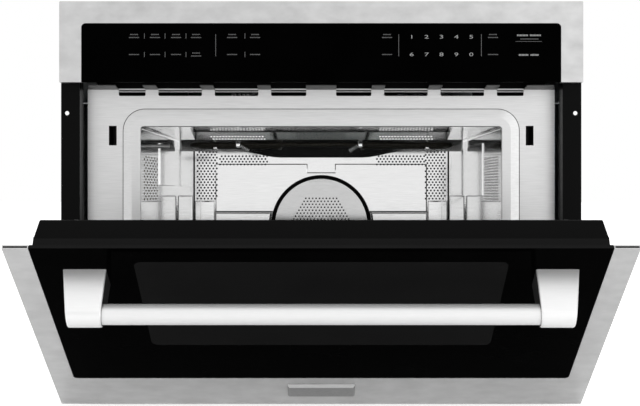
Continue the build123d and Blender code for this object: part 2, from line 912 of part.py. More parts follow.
# Lamp housing on the right wall, open towards the cavity, with its bulb
lamp_y_centre = lamp_y + lamp_size / 2
lamp_face = cavity_outer_half
lamp_inner_size = lamp_size - 2 * lamp_sheet
with BuildPart() as lamp_housing:
    with BuildSketch(upright(lamp_face)):
        with Locations((lamp_y_centre, lamp_z)):
            RectangleRounded(lamp_size, lamp_size, mouth_radius)
    extrude(amount=lamp_depth)
    with BuildSketch(upright(lamp_face)):
        with Locations((lamp_y_centre, lamp_z)):
            RectangleRounded(lamp_inner_size, lamp_inner_size, mouth_radius - lamp_sheet)
    extrude(amount=lamp_depth - lamp_sheet, mode=Mode.SUBTRACT)
lamp_housing.part.label = "lamp_housing"
export_step(lamp_housing.part, "parts/lamp_housing.step")

bulb_low = lamp_z - lamp_size / 2 + lamp_sheet
with BuildPart() as lamp_bulb:
    with BuildSketch(level(bulb_low)):
        with Locations((lamp_face + lamp_depth / 2, lamp_y_centre)):
            Circle(bulb_radius)
    extrude(amount=bulb_length)
    fillet(lamp_bulb.edges().group_by(Axis.Z)[-1], bulb_radius / 2)
lamp_bulb.part.label = "lamp_bulb"
export_step(lamp_bulb.part, "parts/lamp_bulb.step")

# Temperature probe through the left wall
with BuildPart() as temperature_probe:
    with BuildSketch(upright(-cavity_outer_half)):
        with Locations((probe_y, probe_z)):
            Circle(probe_radius)
    extrude(amount=probe_reach)
    with BuildSketch(upright(-cavity_outer_half)):
        with Locations((probe_y, probe_z)):
            Circle(probe_boss_radius)
    extrude(amount=-probe_boss_length)
temperature_probe.part.label = "temperature_probe"
export_step(temperature_probe.part, "parts/temperature_probe.step")

# Insulation slabs: over, beside and under the cavity
wool_start = plate_back + wool_front_gap
wool_end = liner_front - wool_rear_gap
wool_length = wool_end - wool_start
wool_centre = (wool_end + wool_start) / 2
wool_side_height = mouth_height - 2 * mouth_radius
guide_centre_x = (guide_left + guide_right) / 2
wool_guide_width = guide_right - guide_left + 2 * wool_clearance
wool_motor_width = table_motor_width + 2 * wool_clearance
wool_motor_length = 2 * table_motor_radius + 2 * wool_clearance
wool_lamp_size = lamp_size + 2 * wool_clearance
with BuildPart() as insulation:
    with BuildSketch(level(ceiling_outer)):
        with Locations((0, wool_centre)):
            Rectangle(2 * mouth_half, wool_length)
        with Locations((guide_centre_x, guide_centre_y)):
            Rectangle(wool_guide_width, guide_width + 2 * wool_clearance, mode=Mode.SUBTRACT)
    extrude(amount=wool_top)
    with BuildSketch(level(floor_under - wool_floor)):
        with Locations((0, wool_centre)):
            Rectangle(2 * mouth_half, wool_length)
        with Locations((0, table_y)):
            Rectangle(wool_motor_width, wool_motor_length, mode=Mode.SUBTRACT)
    extrude(amount=wool_floor)
    with BuildSketch(upright(cavity_outer_half)):
        with Locations((wool_centre, mouth_centre)):
            Rectangle(wool_length, wool_side_height)
        with Locations((lamp_y_centre, lamp_z)):
            Rectangle(wool_lamp_size, wool_lamp_size, mode=Mode.SUBTRACT)
    extrude(amount=wool_side)
    with BuildSketch(upright(-cavity_outer_half)):
        with Locations((wool_centre, mouth_centre)):
            Rectangle(wool_length, wool_side_height)
        with Locations((probe_y, probe_z)):
            Circle(probe_boss_radius + wool_clearance, mode=Mode.SUBTRACT)
    extrude(amount=-wool_side)
insulation.part.label = "insulation"
export_step(insulation.part, "parts/insulation.step")

# Deck over the cavity that carries the blower, the boards and the microwave source
riser_left = guide_right - guide_riser
riser_centre_x = (riser_left + guide_right) / 2
with BuildPart() as deck_plate:
    with BuildSketch(level(deck_low)):
        with Locations((0, base_centre)):
            Rectangle(2 * inner_half, base_length)
        with Locations((riser_centre_x, guide_centre_y)):
            Rectangle(guide_riser + 2 * seat_gap, guide_width + 2 * seat_gap, mode=Mode.SUBTRACT)
    extrude(amount=deck_sheet)
deck_plate.part.label = "deck_plate"
export_step(deck_plate.part, "parts/deck_plate.step")

# Waveguide: a level duct on the ceiling and a riser through the deck to the magnetron
riser_top = deck_top + guide_riser_height
antenna_z = deck_top + magnetron_size / 2
with BuildPart() as waveguide:
    with BuildSketch(level(ceiling_outer)):
        with Locations((guide_centre_x, guide_centre_y)):
            Rectangle(guide_right - guide_left, guide_width)
    extrude(amount=deck_low - ceiling_outer)
    with BuildSketch(level(ceiling_outer)):
        with Locations((riser_centre_x, guide_centre_y)):
            Rectangle(guide_riser, guide_width)
    extrude(amount=riser_top - ceiling_outer)
    with BuildSketch(level(ceiling_outer + guide_sheet)):
        with Locations((guide_centre_x, guide_centre_y)):
            Rectangle(guide_right - guide_left - 2 * guide_sheet, guide_width - 2 * guide_sheet)
    extrude(amount=deck_low - ceiling_outer - 2 * guide_sheet, mode=Mode.SUBTRACT)
    with BuildSketch(level(ceiling_outer + guide_sheet)):
        with Locations((riser_centre_x, guide_centre_y)):
            Rectangle(guide_riser - 2 * guide_sheet, guide_width - 2 * guide_sheet)
    extrude(amount=riser_top - ceiling_outer - 2 * guide_sheet, mode=Mode.SUBTRACT)
    with BuildSketch(level(ceiling_outer)):
        with Locations((port_centre_x, guide_centre_y)):
            Rectangle(port_width, port_length)
    extrude(amount=guide_sheet, mode=Mode.SUBTRACT)
    with BuildSketch(upright(guide_right - guide_sheet)):
        with Locations((guide_centre_y, antenna_z)):
            Circle(antenna_radius + seat_gap)
    extrude(amount=guide_sheet, mode=Mode.SUBTRACT)
waveguide.part.label = "waveguide"
export_step(waveguide.part, "parts/waveguide.step")

# Mica cover under the waveguide port
with BuildPart() as waveguide_cover:
    with BuildSketch(level(mouth_top - mica_sheet)):
        with Locations((port_centre_x, guide_centre_y)):
            RectangleRounded(port_width + 2 * mica_margin, port_length + 2 * mica_margin, mouth_radius)
    extrude(amount=mica_sheet)
waveguide_cover.part.label = "waveguide_cover"
export_step(waveguide_cover.part, "parts/waveguide_cover.step")

# Magnetron: body with cooling gaps, and the antenna that reaches into the waveguide
with BuildPart() as magnetron:
    with BuildSketch(level(deck_top)):
        with Locations((guide_right + magnetron_length / 2, guide_centre_y)):
            Rectangle(magnetron_length, magnetron_size)
    extrude(amount=magnetron_size)
    with BuildSketch(level(deck_top)):
        for side in (-1, 1):
            edge_y = guide_centre_y + side * (magnetron_size - magnetron_fin_depth) / 2
            with Locations((guide_right + magnetron_length / 2, edge_y)):
                with GridLocations(2 * magnetron_fin_gap, 1, magnetron_fins - 1, 1):
                    Rectangle(magnetron_fin_gap, magnetron_fin_depth)
    extrude(amount=magnetron_size, mode=Mode.SUBTRACT)
    with BuildSketch(upright(guide_right)):
        with Locations((guide_centre_y, antenna_z)):
            Circle(antenna_radius)
    extrude(amount=-antenna_length)
    fillet(magnetron.edges().filter_by(GeomType.CIRCLE).group_by(Axis.X)[0], antenna_radius / 2)
magnetron.part.label = "magnetron"
export_step(magnetron.part, "parts/magnetron.step")

# Inverter unit: board on standoffs, finned heat sink and high voltage coil
inverter_y = plate_front + inverter_start + inverter_length / 2
inverter_hole_width = inverter_width - 2 * standoff_inset
inverter_hole_length = inverter_length - 2 * standoff_inset
board_low = deck_top + standoff_height
board_top = board_low + board_sheet
with BuildPart() as inverter_unit:
    with BuildSketch(level(board_low)):
        with Locations((inverter_x, inverter_y)):
            Rectangle(inverter_width, inverter_length)
    extrude(amount=board_sheet)
    with BuildSketch(level(deck_top)):
        with Locations((inverter_x, inverter_y)):
            with GridLocations(inverter_hole_width, inverter_hole_length, 2, 2):
                Circle(standoff_radius)
    extrude(amount=standoff_height)
    with BuildSketch(level(board_top)):
        with Locations((sink_x, inverter_y)):
            with GridLocations(sink_width / sink_fins, 1, sink_fins, 1):
                Rectangle(board_sheet, sink_length)
    extrude(amount=sink_height)
    with BuildSketch(level(board_top)):
        with Locations((sink_x, inverter_y)):
            Rectangle(sink_width, sink_length)
    extrude(amount=sink_base)
    with BuildSketch(level(board_top)):
        with Locations((coil_x, inverter_y)):
            Circle(coil_radius)
    extrude(amount=coil_height)
inverter_unit.part.label = "inverter_unit"
export_step(inverter_unit.part, "parts/inverter_unit.step")

# Power board: board on standoffs with four relays
power_y = plate_front + power_start + power_length / 2
with BuildPart() as power_board:
    with BuildSketch(level(board_low)):
        with Locations((power_x, power_y)):
            Rectangle(power_width, power_length)
    extrude(amount=board_sheet)
    with BuildSketch(level(deck_top)):
        with Locations((power_x, power_y)):
            with GridLocations(power_width - 2 * standoff_inset, power_length - 2 * standoff_inset, 2, 2):
                Circle(standoff_radius)
    extrude(amount=standoff_height)
    with BuildSketch(level(board_top)):
        with Locations((power_x, power_y)):
            with GridLocations(relay_pitch, 1, relay_count, 1):
                Rectangle(relay_size, relay_size)
    extrude(amount=relay_height)
power_board.part.label = "power_board"
export_step(power_board.part, "parts/power_board.step")

# Air duct: from the blower nozzle to the vent slots of the front plate
blower_y = plate_front + blower_start
duct_end = blower_y - blower_reach
duct_front = plate_back
duct_outline = (
    (-duct_width / 2, duct_front),
    (duct_width / 2, duct_front),
    (duct_width / 2, duct_front + duct_straight),
    (blower_nozzle / 2, duct_end),
    (-blower_nozzle / 2, duct_end),
    (-duct_width / 2, duct_front + duct_straight),
)
duct_hollow = (
    (-duct_width / 2 + duct_sheet, duct_front - duct_sheet),
    (duct_width / 2 - duct_sheet, duct_front - duct_sheet),
    (duct_width / 2 - duct_sheet, duct_front + duct_straight),
    (blower_nozzle / 2 - duct_sheet, duct_end + duct_sheet),
    (-blower_nozzle / 2 + duct_sheet, duct_end + duct_sheet),
    (-duct_width / 2 + duct_sheet, duct_front + duct_straight),
)
with BuildPart() as air_duct:
    with BuildSketch(level(deck_top)):
        Polygon(*duct_outline, align=None)
    extrude(amount=duct_height)
    with BuildSketch(level(deck_top + duct_sheet)):
        Polygon(*duct_hollow, align=None)
    extrude(amount=duct_height - 2 * duct_sheet, mode=Mode.SUBTRACT)
air_duct.part.label = "air_duct"
export_step(air_duct.part, "parts/air_duct.step")

# Blower housing: round shell with an inlet in its top and a nozzle into the duct
blower_top = deck_top + blower_height
with BuildPart() as blower_housing:
    with BuildSketch(level(deck_top)):
        with Locations((0, blower_y)):
            Circle(blower_radius)
    extrude(amount=blower_height)
    with BuildSketch(level(deck_top)):
        with Locations((0, (blower_y + duct_end) / 2)):
            Rectangle(blower_nozzle, blower_y - duct_end)
    extrude(amount=duct_height)
    with BuildSketch(level(deck_top + blower_sheet)):
        with Locations((0, blower_y)):
            Circle(blower_radius - blower_sheet)
    extrude(amount=blower_height - 2 * blower_sheet, mode=Mode.SUBTRACT)
    with BuildSketch(level(deck_top + blower_sheet)):
        with Locations((0, (blower_y + duct_end) / 2 - duct_sheet)):
            Rectangle(blower_nozzle - 2 * blower_sheet, blower_y - duct_end)
    extrude(amount=duct_height - 2 * blower_sheet, mode=Mode.SUBTRACT)
    with BuildSketch(level(blower_top)):
        with Locations((0, blower_y)):
            Circle(blower_inlet)
    extrude(amount=-2 * blower_sheet, mode=Mode.SUBTRACT)
blower_housing.part.label = "blower_housing"
export_step(blower_housing.part, "parts/blower_housing.step")

# Blower motor on a bar across the inlet, with a blind shaft bore
bar_top = blower_top + blower_bar_sheet
with BuildPart() as blower_motor:
    with BuildSketch(level(blower_top)):
        with Locations((0, blower_y)):
            Rectangle(2 * blower_radius - blower_bar_width, blower_bar_width)
    extrude(amount=blower_bar_sheet)
    with BuildSketch(level(bar_top)):
        with Locations((0, blower_y)):
            Circle(blower_motor_radius)
    extrude(amount=blower_motor_height)
    with BuildSketch(level(blower_top)):
        with Locations((0, blower_y)):
            Circle(shaft_radius + running_clearance)
    extrude(amount=blower_bar_sheet + blower_motor_height / 2, mode=Mode.SUBTRACT)
blower_motor.part.label = "blower_motor"
export_step(blower_motor.part, "parts/blower_motor.step")

# Blower wheel: bottom disc, ring of blades, hub and shaft
wheel_low = deck_top + blower_sheet + wheel_gap
wheel_orbit = wheel_radius - wheel_blade_length / 2
with BuildPart() as blower_wheel:
    with BuildSketch(level(wheel_low)):
        with Locations((0, blower_y)):
            Circle(wheel_radius)
    extrude(amount=wheel_blade_sheet)
    with BuildSketch(level(wheel_low)):
        with Locations((0, blower_y)):
            Circle(hub_radius)
            with PolarLocations(wheel_orbit, wheel_blades):
                Rectangle(wheel_blade_length, wheel_blade_sheet)
    extrude(amount=wheel_height)
    with BuildSketch(level(wheel_low)):
        with Locations((0, blower_y)):
            Circle(shaft_radius)
    extrude(amount=bar_top + blower_motor_height / 3 - wheel_low)
blower_wheel.part.label = "blower_wheel"
export_step(blower_wheel.part, "parts/blower_wheel.step")

# Control panel glass between the bands of the trim
glass_half = front_half - panel_band_side
glass_top = panel_top - panel_band_top
with BuildPart() as control_glass:
    with BuildSketch(facing(face_y + glass_recess + panel_glass)) as panel_outline:
        with Locations((0, (panel_low + glass_top) / 2)):
            Rectangle(2 * (glass_half - seat_gap), glass_top - panel_low - seat_gap)
        fillet(panel_outline.vertices().group_by(Axis.Y)[-1], panel_corner - seat_gap)
        fillet(panel_outline.vertices().group_by(Axis.Y)[0], glass_nip)
    extrude(amount=panel_glass)
control_glass.part.label = "control_glass"
export_step(control_glass.part, "parts/control_glass.step")

# Control panel trim: a band over and beside the glass, hollow behind
cutout_height = glass_top - panel_low
with BuildPart() as control_trim:
    with BuildSketch(facing(flange_front)):
        with Locations((0, (panel_low + panel_top) / 2)):
            Rectangle(front_width, panel_height)
        with Locations((0, (panel_low - panel_corner + glass_top) / 2)):
            RectangleRounded(2 * glass_half, cutout_height + panel_corner, panel_corner, mode=Mode.SUBTRACT)
    extrude(amount=trim_depth)
    with BuildSketch(facing(flange_front)):
        with Locations((0, (panel_low + panel_top) / 2)):
            Rectangle(front_width - 2 * trim_wall, panel_height - 2 * trim_wall)
        with Locations((0, (panel_low + glass_top) / 2)):
            Rectangle(2 * (glass_half + trim_wall), cutout_height + 2 * trim_wall, mode=Mode.SUBTRACT)
    extrude(amount=trim_depth - trim_wall, mode=Mode.SUBTRACT)
    fillet(control_trim.edges().filter_by(Axis.Y).group_by(Axis.Z)[-1], trim_wall)
control_trim.part.label = "control_trim"
export_step(control_trim.part, "parts/control_trim.step")

# Tray behind the control glass
tray_back = face_y + glass_recess + panel_glass + tray_depth
tray_low = panel_low + tray_inset
tray_top = casing_height - tray_inset
tray_lip = glass_top - tray_inset
tray_half = glass_half - tray_inset
tray_front = face_y + glass_recess + panel_glass
with BuildPart() as control_housing:
    with BuildSketch(facing(tray_back)):
        with Locations((0, (tray_low + tray_top) / 2)):
            Rectangle(2 * tray_half, tray_top - tray_low)
    extrude(amount=tray_back - flange_front)
    with BuildSketch(facing(flange_front)):
        with Locations((0, (tray_low + tray_lip) / 2)):
            Rectangle(2 * tray_half, tray_lip - tray_low)
    extrude(amount=flange_front - tray_front)
    with BuildSketch(facing(tray_back - tray_wall)):
        with Locations((0, (tray_low + tray_top) / 2)):
            Rectangle(2 * (tray_half - tray_wall), tray_top - tray_low - 2 * tray_wall)
    extrude(amount=tray_back - tray_wall - flange_front, mode=Mode.SUBTRACT)
    with BuildSketch(facing(flange_front)):
        with Locations((0, (tray_low + tray_lip) / 2)):
            Rectangle(2 * (tray_half - tray_wall), tray_lip - tray_low - 2 * tray_wall)
    extrude(amount=flange_front - tray_front, mode=Mode.SUBTRACT)
control_housing.part.label = "control_housing"
export_step(control_housing.part, "parts/control_housing.step")

# Display module: touch board behind the glass with the display block in front of it
panel_middle = (panel_low + glass_top) / 2
with BuildPart() as display_module:
    with BuildSketch(facing(tray_front + display_depth)):
        with Locations((display_x, panel_middle)):
            Rectangle(display_width, display_height)
    extrude(amount=display_depth)
    with BuildSketch(facing(tray_front + display_depth + board_sheet)):
        with Locations((0, panel_middle)):
            Rectangle(touch_width, touch_height)
    extrude(amount=board_sheet)
    with BuildSketch(facing(tray_back - tray_wall)):
        with Locations((0, panel_middle)):
            with GridLocations(touch_width - 2 * standoff_inset, touch_height - 2 * standoff_inset, 2, 2):
                Circle(standoff_radius)
    extrude(amount=tray_back - tray_wall - tray_front - display_depth - board_sheet)
display_module.part.label = "display_module"
export_step(display_module.part, "parts/display_module.step")

# Turntable motor under the floor
motor_plate_low = floor_under - table_motor_plate
with BuildPart() as turntable_motor:
    with BuildSketch(level(motor_plate_low)):
        with Locations((0, table_y)):
            Rectangle(table_motor_width, table_plate_width)
    extrude(amount=table_motor_plate)
    with BuildSketch(level(motor_plate_low - table_motor_height)):
        with Locations((0, table_y)):
            Circle(table_motor_radius)
    extrude(amount=table_motor_height)
    with BuildSketch(level(floor_under)):
        with Locations((0, table_y)):
            Circle(drive_radius + running_clearance)
    extrude(amount=-table_motor_plate - table_motor_height / 2, mode=Mode.SUBTRACT)
turntable_motor.part.label = "turntable_motor"
export_step(turntable_motor.part, "parts/turntable_motor.step")

# Drive coupler: shaft and a three-lobed head under the tray
roller_z = mouth_floor + track_gap + roller_radius
plate_low = roller_z + roller_radius + track_gap
coupler_low = plate_low - coupler_height
with BuildPart() as drive_coupler:
    with BuildSketch(level(coupler_low)):
        with Locations((0, table_y)):
            Circle(coupler_radius - lobe_radius)
            with PolarLocations(coupler_radius - lobe_radius, coupler_lobes):
                Circle(lobe_radius)
    extrude(amount=coupler_height)
    with BuildSketch(level(motor_plate_low - table_motor_height / 3)):
        with Locations((0, table_y)):
            Circle(drive_radius)
    extrude(amount=coupler_low + table_motor_height / 3 - motor_plate_low)
drive_coupler.part.label = "drive_coupler"
export_step(drive_coupler.part, "parts/drive_coupler.step")

# Turntable tray: round glass plate with a rim, and a boss round the coupler
plate_high = plate_low + plate_thickness
with BuildPart() as turntable_tray:
    with BuildSketch(level(plate_low)):
        with Locations((0, table_y)):
            Circle(plate_radius)
    extrude(amount=plate_thickness)
    with BuildSketch(level(plate_high)):
        with Locations((0, table_y)):
            Circle(plate_radius)
            Circle(plate_radius - plate_rim_wall, mode=Mode.SUBTRACT)
    extrude(amount=plate_rim)
    with BuildSketch(level(coupler_low)):
        with Locations((0, table_y)):
            Circle(coupler_radius + seat_gap + boss_wall)
            Circle(coupler_radius + seat_gap, mode=Mode.SUBTRACT)
    extrude(amount=coupler_height)
turntable_tray.part.label = "turntable_tray"
export_step(turntable_tray.part, "parts/turntable_tray.step")

# Roller ring: flat ring with stub axles that point outwards
axle_end = roller_orbit + roller_width / 2 + seat_gap
with BuildPart() as roller_ring:
    with BuildSketch(level(roller_z - ring_thickness / 2)):
        with Locations((0, table_y)):
            Circle(ring_outer)
            Circle(ring_inner, mode=Mode.SUBTRACT)
    extrude(amount=ring_thickness)
    with Locations((0, table_y, roller_z)):
        with PolarLocations((axle_end + ring_outer - ring_thickness) / 2, roller_count):
            Cylinder(axle_radius, axle_end - ring_outer + ring_thickness, rotation=(0, 90, 0))
roller_ring.part.label = "roller_ring"
export_step(roller_ring.part, "parts/roller_ring.step")

# Rollers: three alike, each free on its own axle
for number in range(roller_count):
    angle = 360 / roller_count * number
    with BuildPart() as roller:
        with Locations((0, table_y, roller_z)):
            with PolarLocations(roller_orbit, 1, start_angle=angle):
                Cylinder(roller_radius, roller_width, rotation=(0, 90, 0))
                Cylinder(
                    axle_radius + running_clearance, roller_width, rotation=(0, 90, 0), mode=Mode.SUBTRACT
                )
    roller.part.label = f"roller_{number + 1}"
    export_step(roller.part, f"parts/roller_{number + 1}.step")

# Door trim: bands at both sides and the bottom
door_glass_half = front_half - door_band_side
door_glass_low = door_low + door_band_bottom
door_cutout = door_top - door_glass_low
with BuildPart() as door_trim:
    with BuildSketch(door_face(door_panel_back)):
        with Locations((0, (door_low + door_top) / 2)):
            Rectangle(front_width, door_height)
        with Locations((0, (door_glass_low + door_top + door_corner) / 2)):
            RectangleRounded(2 * door_glass_half, door_cutout + door_corner, door_corner, mode=Mode.SUBTRACT)
    extrude(amount=door_panel)
door_trim.part.label = "door_trim"
export_step(door_trim.part, "parts/door_trim.step")

# Outer door glass, with holes for the handle screws
glass_front = door_outer - glass_recess
post_x = post_inner + post_width / 2
bar_s = bar_height - hinge_inset
screw_rows = []
for side in (-1, 1):
    for row in (-1, 1):
        screw_rows.append((side * post_x, bar_s - bar_radius / 2 + row * post_screw_pitch / 2))
with BuildPart() as door_glass:
    with BuildSketch(door_face(door_panel_back)) as door_outline:
        with Locations((0, (door_glass_low + door_top + seat_gap) / 2)):
            Rectangle(2 * (door_glass_half - seat_gap), door_cutout - seat_gap)
        fillet(door_outline.vertices().group_by(Axis.Y)[0], door_corner - seat_gap)
        fillet(door_outline.vertices().group_by(Axis.Y)[-1], glass_nip)
        with Locations(*screw_rows):
            Circle(post_screw_radius + screw_clearance, mode=Mode.SUBTRACT)
    extrude(amount=glass_front - door_panel_back)
door_glass.part.label = "door_glass"
export_step(door_glass.part, "parts/door_glass.step")

# Blank name plate with bevelled edges
with BuildPart() as nameplate:
    with BuildSketch(door_face(door_outer)):
        with Locations((0, door_low + badge_bottom + badge_height / 2)):
            Rectangle(badge_width, badge_height)
    extrude(amount=badge_depth)
    chamfer(nameplate.faces().sort_by(Axis(door_plane.origin, door_out))[-1].edges(), badge_bevel)
nameplate.part.label = "nameplate"
export_step(nameplate.part, "parts/nameplate.step")

# Handle bar: a tube whose ends sit in the posts
bar_out = glass_front + bar_standoff
bar_end = post_inner + bar_socket
with BuildPart() as handle_bar:
    with BuildSketch(upright(-bar_end)):
        with Locations(door_point(bar_out, bar_s)):
            Circle(bar_radius)
            Circle(bar_radius - bar_wall, mode=Mode.SUBTRACT)
    extrude(amount=2 * bar_end)
handle_bar.part.label = "handle_bar"
export_step(handle_bar.part, "parts/handle_bar.step")

# Handle posts: wide foot on the glass, round nose about the bar, sides drawn in; the right mirrors the left
post_foot_low = bar_s - post_foot / 2 - seat_gap
post_foot_high = post_foot_low + post_foot
post_end = bar_out + post_nose
foot_place = Vector(0, *door_point(glass_front, bar_s))
with BuildPart() as handle_post_left:
    with BuildSketch(door_side(-post_x)):
        with BuildLine():
            Line((glass_front, post_foot_low), (glass_front, post_foot_high))
        with Locations((bar_out, bar_s)):
            Circle(post_nose)
        make_hull()
    extrude(amount=post_width / 2, both=True)
    with BuildSketch(door_face(glass_front)):
        with Locations((-post_x, bar_s)):
            Rectangle(post_width, 2 * post_foot)
    with BuildSketch(door_face(post_end)):
        with Locations((-post_x + (post_outer_taper - post_inner_taper) / 2, bar_s)):
            Rectangle(post_width - post_outer_taper - post_inner_taper, 2 * post_foot)
    loft(mode=Mode.INTERSECT)
    outer_edges = handle_post_left.edges().filter_by(
        lambda edge: (edge.center() - foot_place).dot(door_out) > post_edge
    )
    fillet(outer_edges, post_edge)
    with BuildSketch(door_side(-post_inner)):
        with Locations((bar_out, bar_s)):
            Circle(bar_radius + running_clearance)
    extrude(amount=bar_socket + seat_gap, mode=Mode.SUBTRACT)
    with BuildSketch(door_face(glass_front)):
        with Locations(*[spot for spot in screw_rows if spot[0] < 0]):
            Circle(post_screw_radius + running_clearance)
    extrude(amount=post_screw_bite + seat_gap, mode=Mode.SUBTRACT)
handle_post_left.part.label = "handle_post_left"
export_step(handle_post_left.part, "parts/handle_post_left.step")

with BuildPart() as handle_post_right:
    add(handle_post_left.part)
    mirror(about=Plane.YZ, mode=Mode.REPLACE)
handle_post_right.part.label = "handle_post_right"
export_step(handle_post_right.part, "parts/handle_post_right.step")

# Handle screws from behind the glass
with BuildPart() as handle_screws:
    with BuildSketch(door_face(door_panel_back)):
        with Locations(*screw_rows):
            Circle(post_screw_head)
    extrude(amount=-post_screw_head_height)
    with BuildSketch(door_face(door_panel_back)):
        with Locations(*screw_rows):
            Circle(post_screw_radius)
    extrude(amount=glass_front - door_panel_back + post_screw_bite)
handle_screws.part.label = "handle_screws"
export_step(handle_screws.part, "parts/handle_screws.step")

# Door frame: a black moulding with a straight step, a tapered rim, a window and openings
channel_slot = channel_width + 2 * seat_gap
latch_s = latch_top - latch_bar / 2 - pivot_z
latch_pin_out = door_inner + latch_pivot_depth
frame_hollow_width = 2 * (frame_half - frame_taper - frame_wall)
frame_hollow_height = frame_top - frame_shoulder - frame_low - 2 * frame_wall
latch_opening = latch_sheet + 2 * latch_cheek_gap
with BuildPart() as door_frame:
    with BuildSketch(door_face(step_back)):
        with Locations((0, (frame_low + frame_top) / 2)):
            Rectangle(2 * frame_half, frame_top - frame_low)
    extrude(amount=frame_step)
    with BuildSketch(door_face(step_back)):
        with Locations((0, (frame_low + frame_top - frame_shoulder) / 2)):
            Rectangle(2 * frame_half, frame_top - frame_shoulder - frame_low)
    with BuildSketch(door_face(door_inner)):
        with Locations((0, (frame_low + frame_top - frame_shoulder) / 2)):
            Rectangle(2 * (frame_half - frame_taper), frame_top - frame_shoulder - frame_low)
    loft()
    fillet(door_frame.faces().sort_by(Axis(door_plane.origin, door_out))[0].edges(), frame_corner)
    with BuildSketch(door_face(door_inner + frame_wall)):
        with Locations((0, (frame_low + frame_top - frame_shoulder) / 2)):
            Rectangle(frame_hollow_width, frame_hollow_height)
    extrude(amount=door_thickness, mode=Mode.SUBTRACT)
    with BuildSketch(door_face(door_inner)):
        with Locations((0, (window_bottom + window_top) / 2)):
            Rectangle(window_width, window_top - window_bottom)
        for side in (-1, 1):
            with Locations((side * latch_x, latch_s)):
                Rectangle(latch_opening, latch_bar + 2 * latch_frame_gap)
    extrude(amount=frame_wall, mode=Mode.SUBTRACT)
    with BuildSketch(door_face(door_inner)):
        for side in (-1, 1):
            with Locations((side * hinge_x, frame_low)):
                Rectangle(channel_slot, 2 * frame_wall)
    extrude(amount=door_thickness, mode=Mode.SUBTRACT)
    for side in (-1, 1):
        cheek_pitch = latch_opening + latch_cheek
        with BuildSketch(door_face(door_inner + frame_wall)):
            with Locations((side * latch_x, latch_s)):
                with GridLocations(cheek_pitch, 1, 2, 1):
                    Rectangle(latch_cheek, latch_cheek_size)
        extrude(amount=latch_pivot_depth - frame_wall + 2 * latch_pin_radius)
        with BuildSketch(upright(side * latch_x)):
            with Locations(door_point(latch_pin_out, latch_s)):
                Circle(latch_pin_radius + running_clearance)
        extrude(amount=latch_opening / 2 + latch_cheek, both=True, mode=Mode.SUBTRACT)
door_frame.part.label = "door_frame"
export_step(door_frame.part, "parts/door_frame.step")

# Inner glass in the frame's window
with BuildPart() as inner_glass:
    with BuildSketch(door_face(door_inner)):
        with Locations((0, (window_bottom + window_top) / 2)):
            Rectangle(window_width - 2 * seat_gap, window_top - window_bottom - 2 * seat_gap)
    extrude(amount=inner_glass_sheet)
inner_glass.part.label = "inner_glass"
export_step(inner_glass.part, "parts/inner_glass.step")

# Choke pan: the steel screen behind the window, with its rim turned outwards
with BuildPart() as door_choke:
    with BuildSketch(door_face(door_inner + inner_glass_sheet)):
        with Locations((0, (choke_bottom + choke_top) / 2)):
            Rectangle(choke_width, choke_top - choke_bottom)
    extrude(amount=choke_rim)
    with BuildSketch(door_face(door_inner + inner_glass_sheet + choke_sheet)):
        with Locations((0, (choke_bottom + choke_top) / 2)):
            Rectangle(choke_width - 2 * choke_sheet, choke_top - choke_bottom - 2 * choke_sheet)
    extrude(amount=choke_rim, mode=Mode.SUBTRACT)
door_choke.part.label = "door_choke"
export_step(door_choke.part, "parts/door_choke.step")

# Hinge channels: two alike, with ears that stick out under the frame
channel_back = door_panel_back - channel_depth
with BuildPart() as hinge_channels:
    for side in (-1, 1):
        with BuildSketch(door_face(channel_back)):
            with Locations((side * hinge_x, (channel_length - channel_ear) / 2)):
                Rectangle(channel_width, channel_length + channel_ear)
        extrude(amount=channel_depth)
        with BuildSketch(door_face(channel_back)):
            with Locations((side * hinge_x, (channel_length - channel_ear) / 2)):
                Rectangle(channel_width - 2 * channel_wall, channel_length + channel_ear)
        extrude(amount=channel_depth - channel_wall, mode=Mode.SUBTRACT)
        with BuildSketch(door_face(channel_back)):
            with Locations((side * hinge_x, (channel_web_start - channel_ear) / 2)):
                Rectangle(channel_width - 2 * channel_wall, channel_web_start + channel_ear)
        extrude(amount=channel_depth, mode=Mode.SUBTRACT)
        with BuildSketch(upright(side * hinge_x)):
            with Locations((pivot_y, pivot_z)):
                Circle(hinge_pin_radius + running_clearance)
        extrude(amount=channel_width / 2, both=True, mode=Mode.SUBTRACT)
hinge_channels.part.label = "hinge_channels"
export_step(hinge_channels.part, "parts/hinge_channels.step")

# Pivot pins: hinge pins in the channels and latch pins in the frame's cheeks
with BuildPart() as pivot_pins:
    for side in (-1, 1):
        with BuildSketch(upright(side * hinge_x)):
            with Locations((pivot_y, pivot_z)):
                Circle(hinge_pin_radius)
        extrude(amount=channel_width / 2 + pin_head, both=True)
        for head in (-1, 1):
            with BuildSketch(upright(side * hinge_x + head * channel_width / 2)):
                with Locations((pivot_y, pivot_z)):
                    Circle(pin_head_radius)
            extrude(amount=head * pin_head)
        with BuildSketch(upright(side * latch_x)):
            with Locations(door_point(latch_pin_out, latch_s)):
                Circle(latch_pin_radius)
        extrude(amount=latch_opening / 2 + latch_cheek, both=True)
pivot_pins.part.label = "pivot_pins"
export_step(pivot_pins.part, "parts/pivot_pins.step")

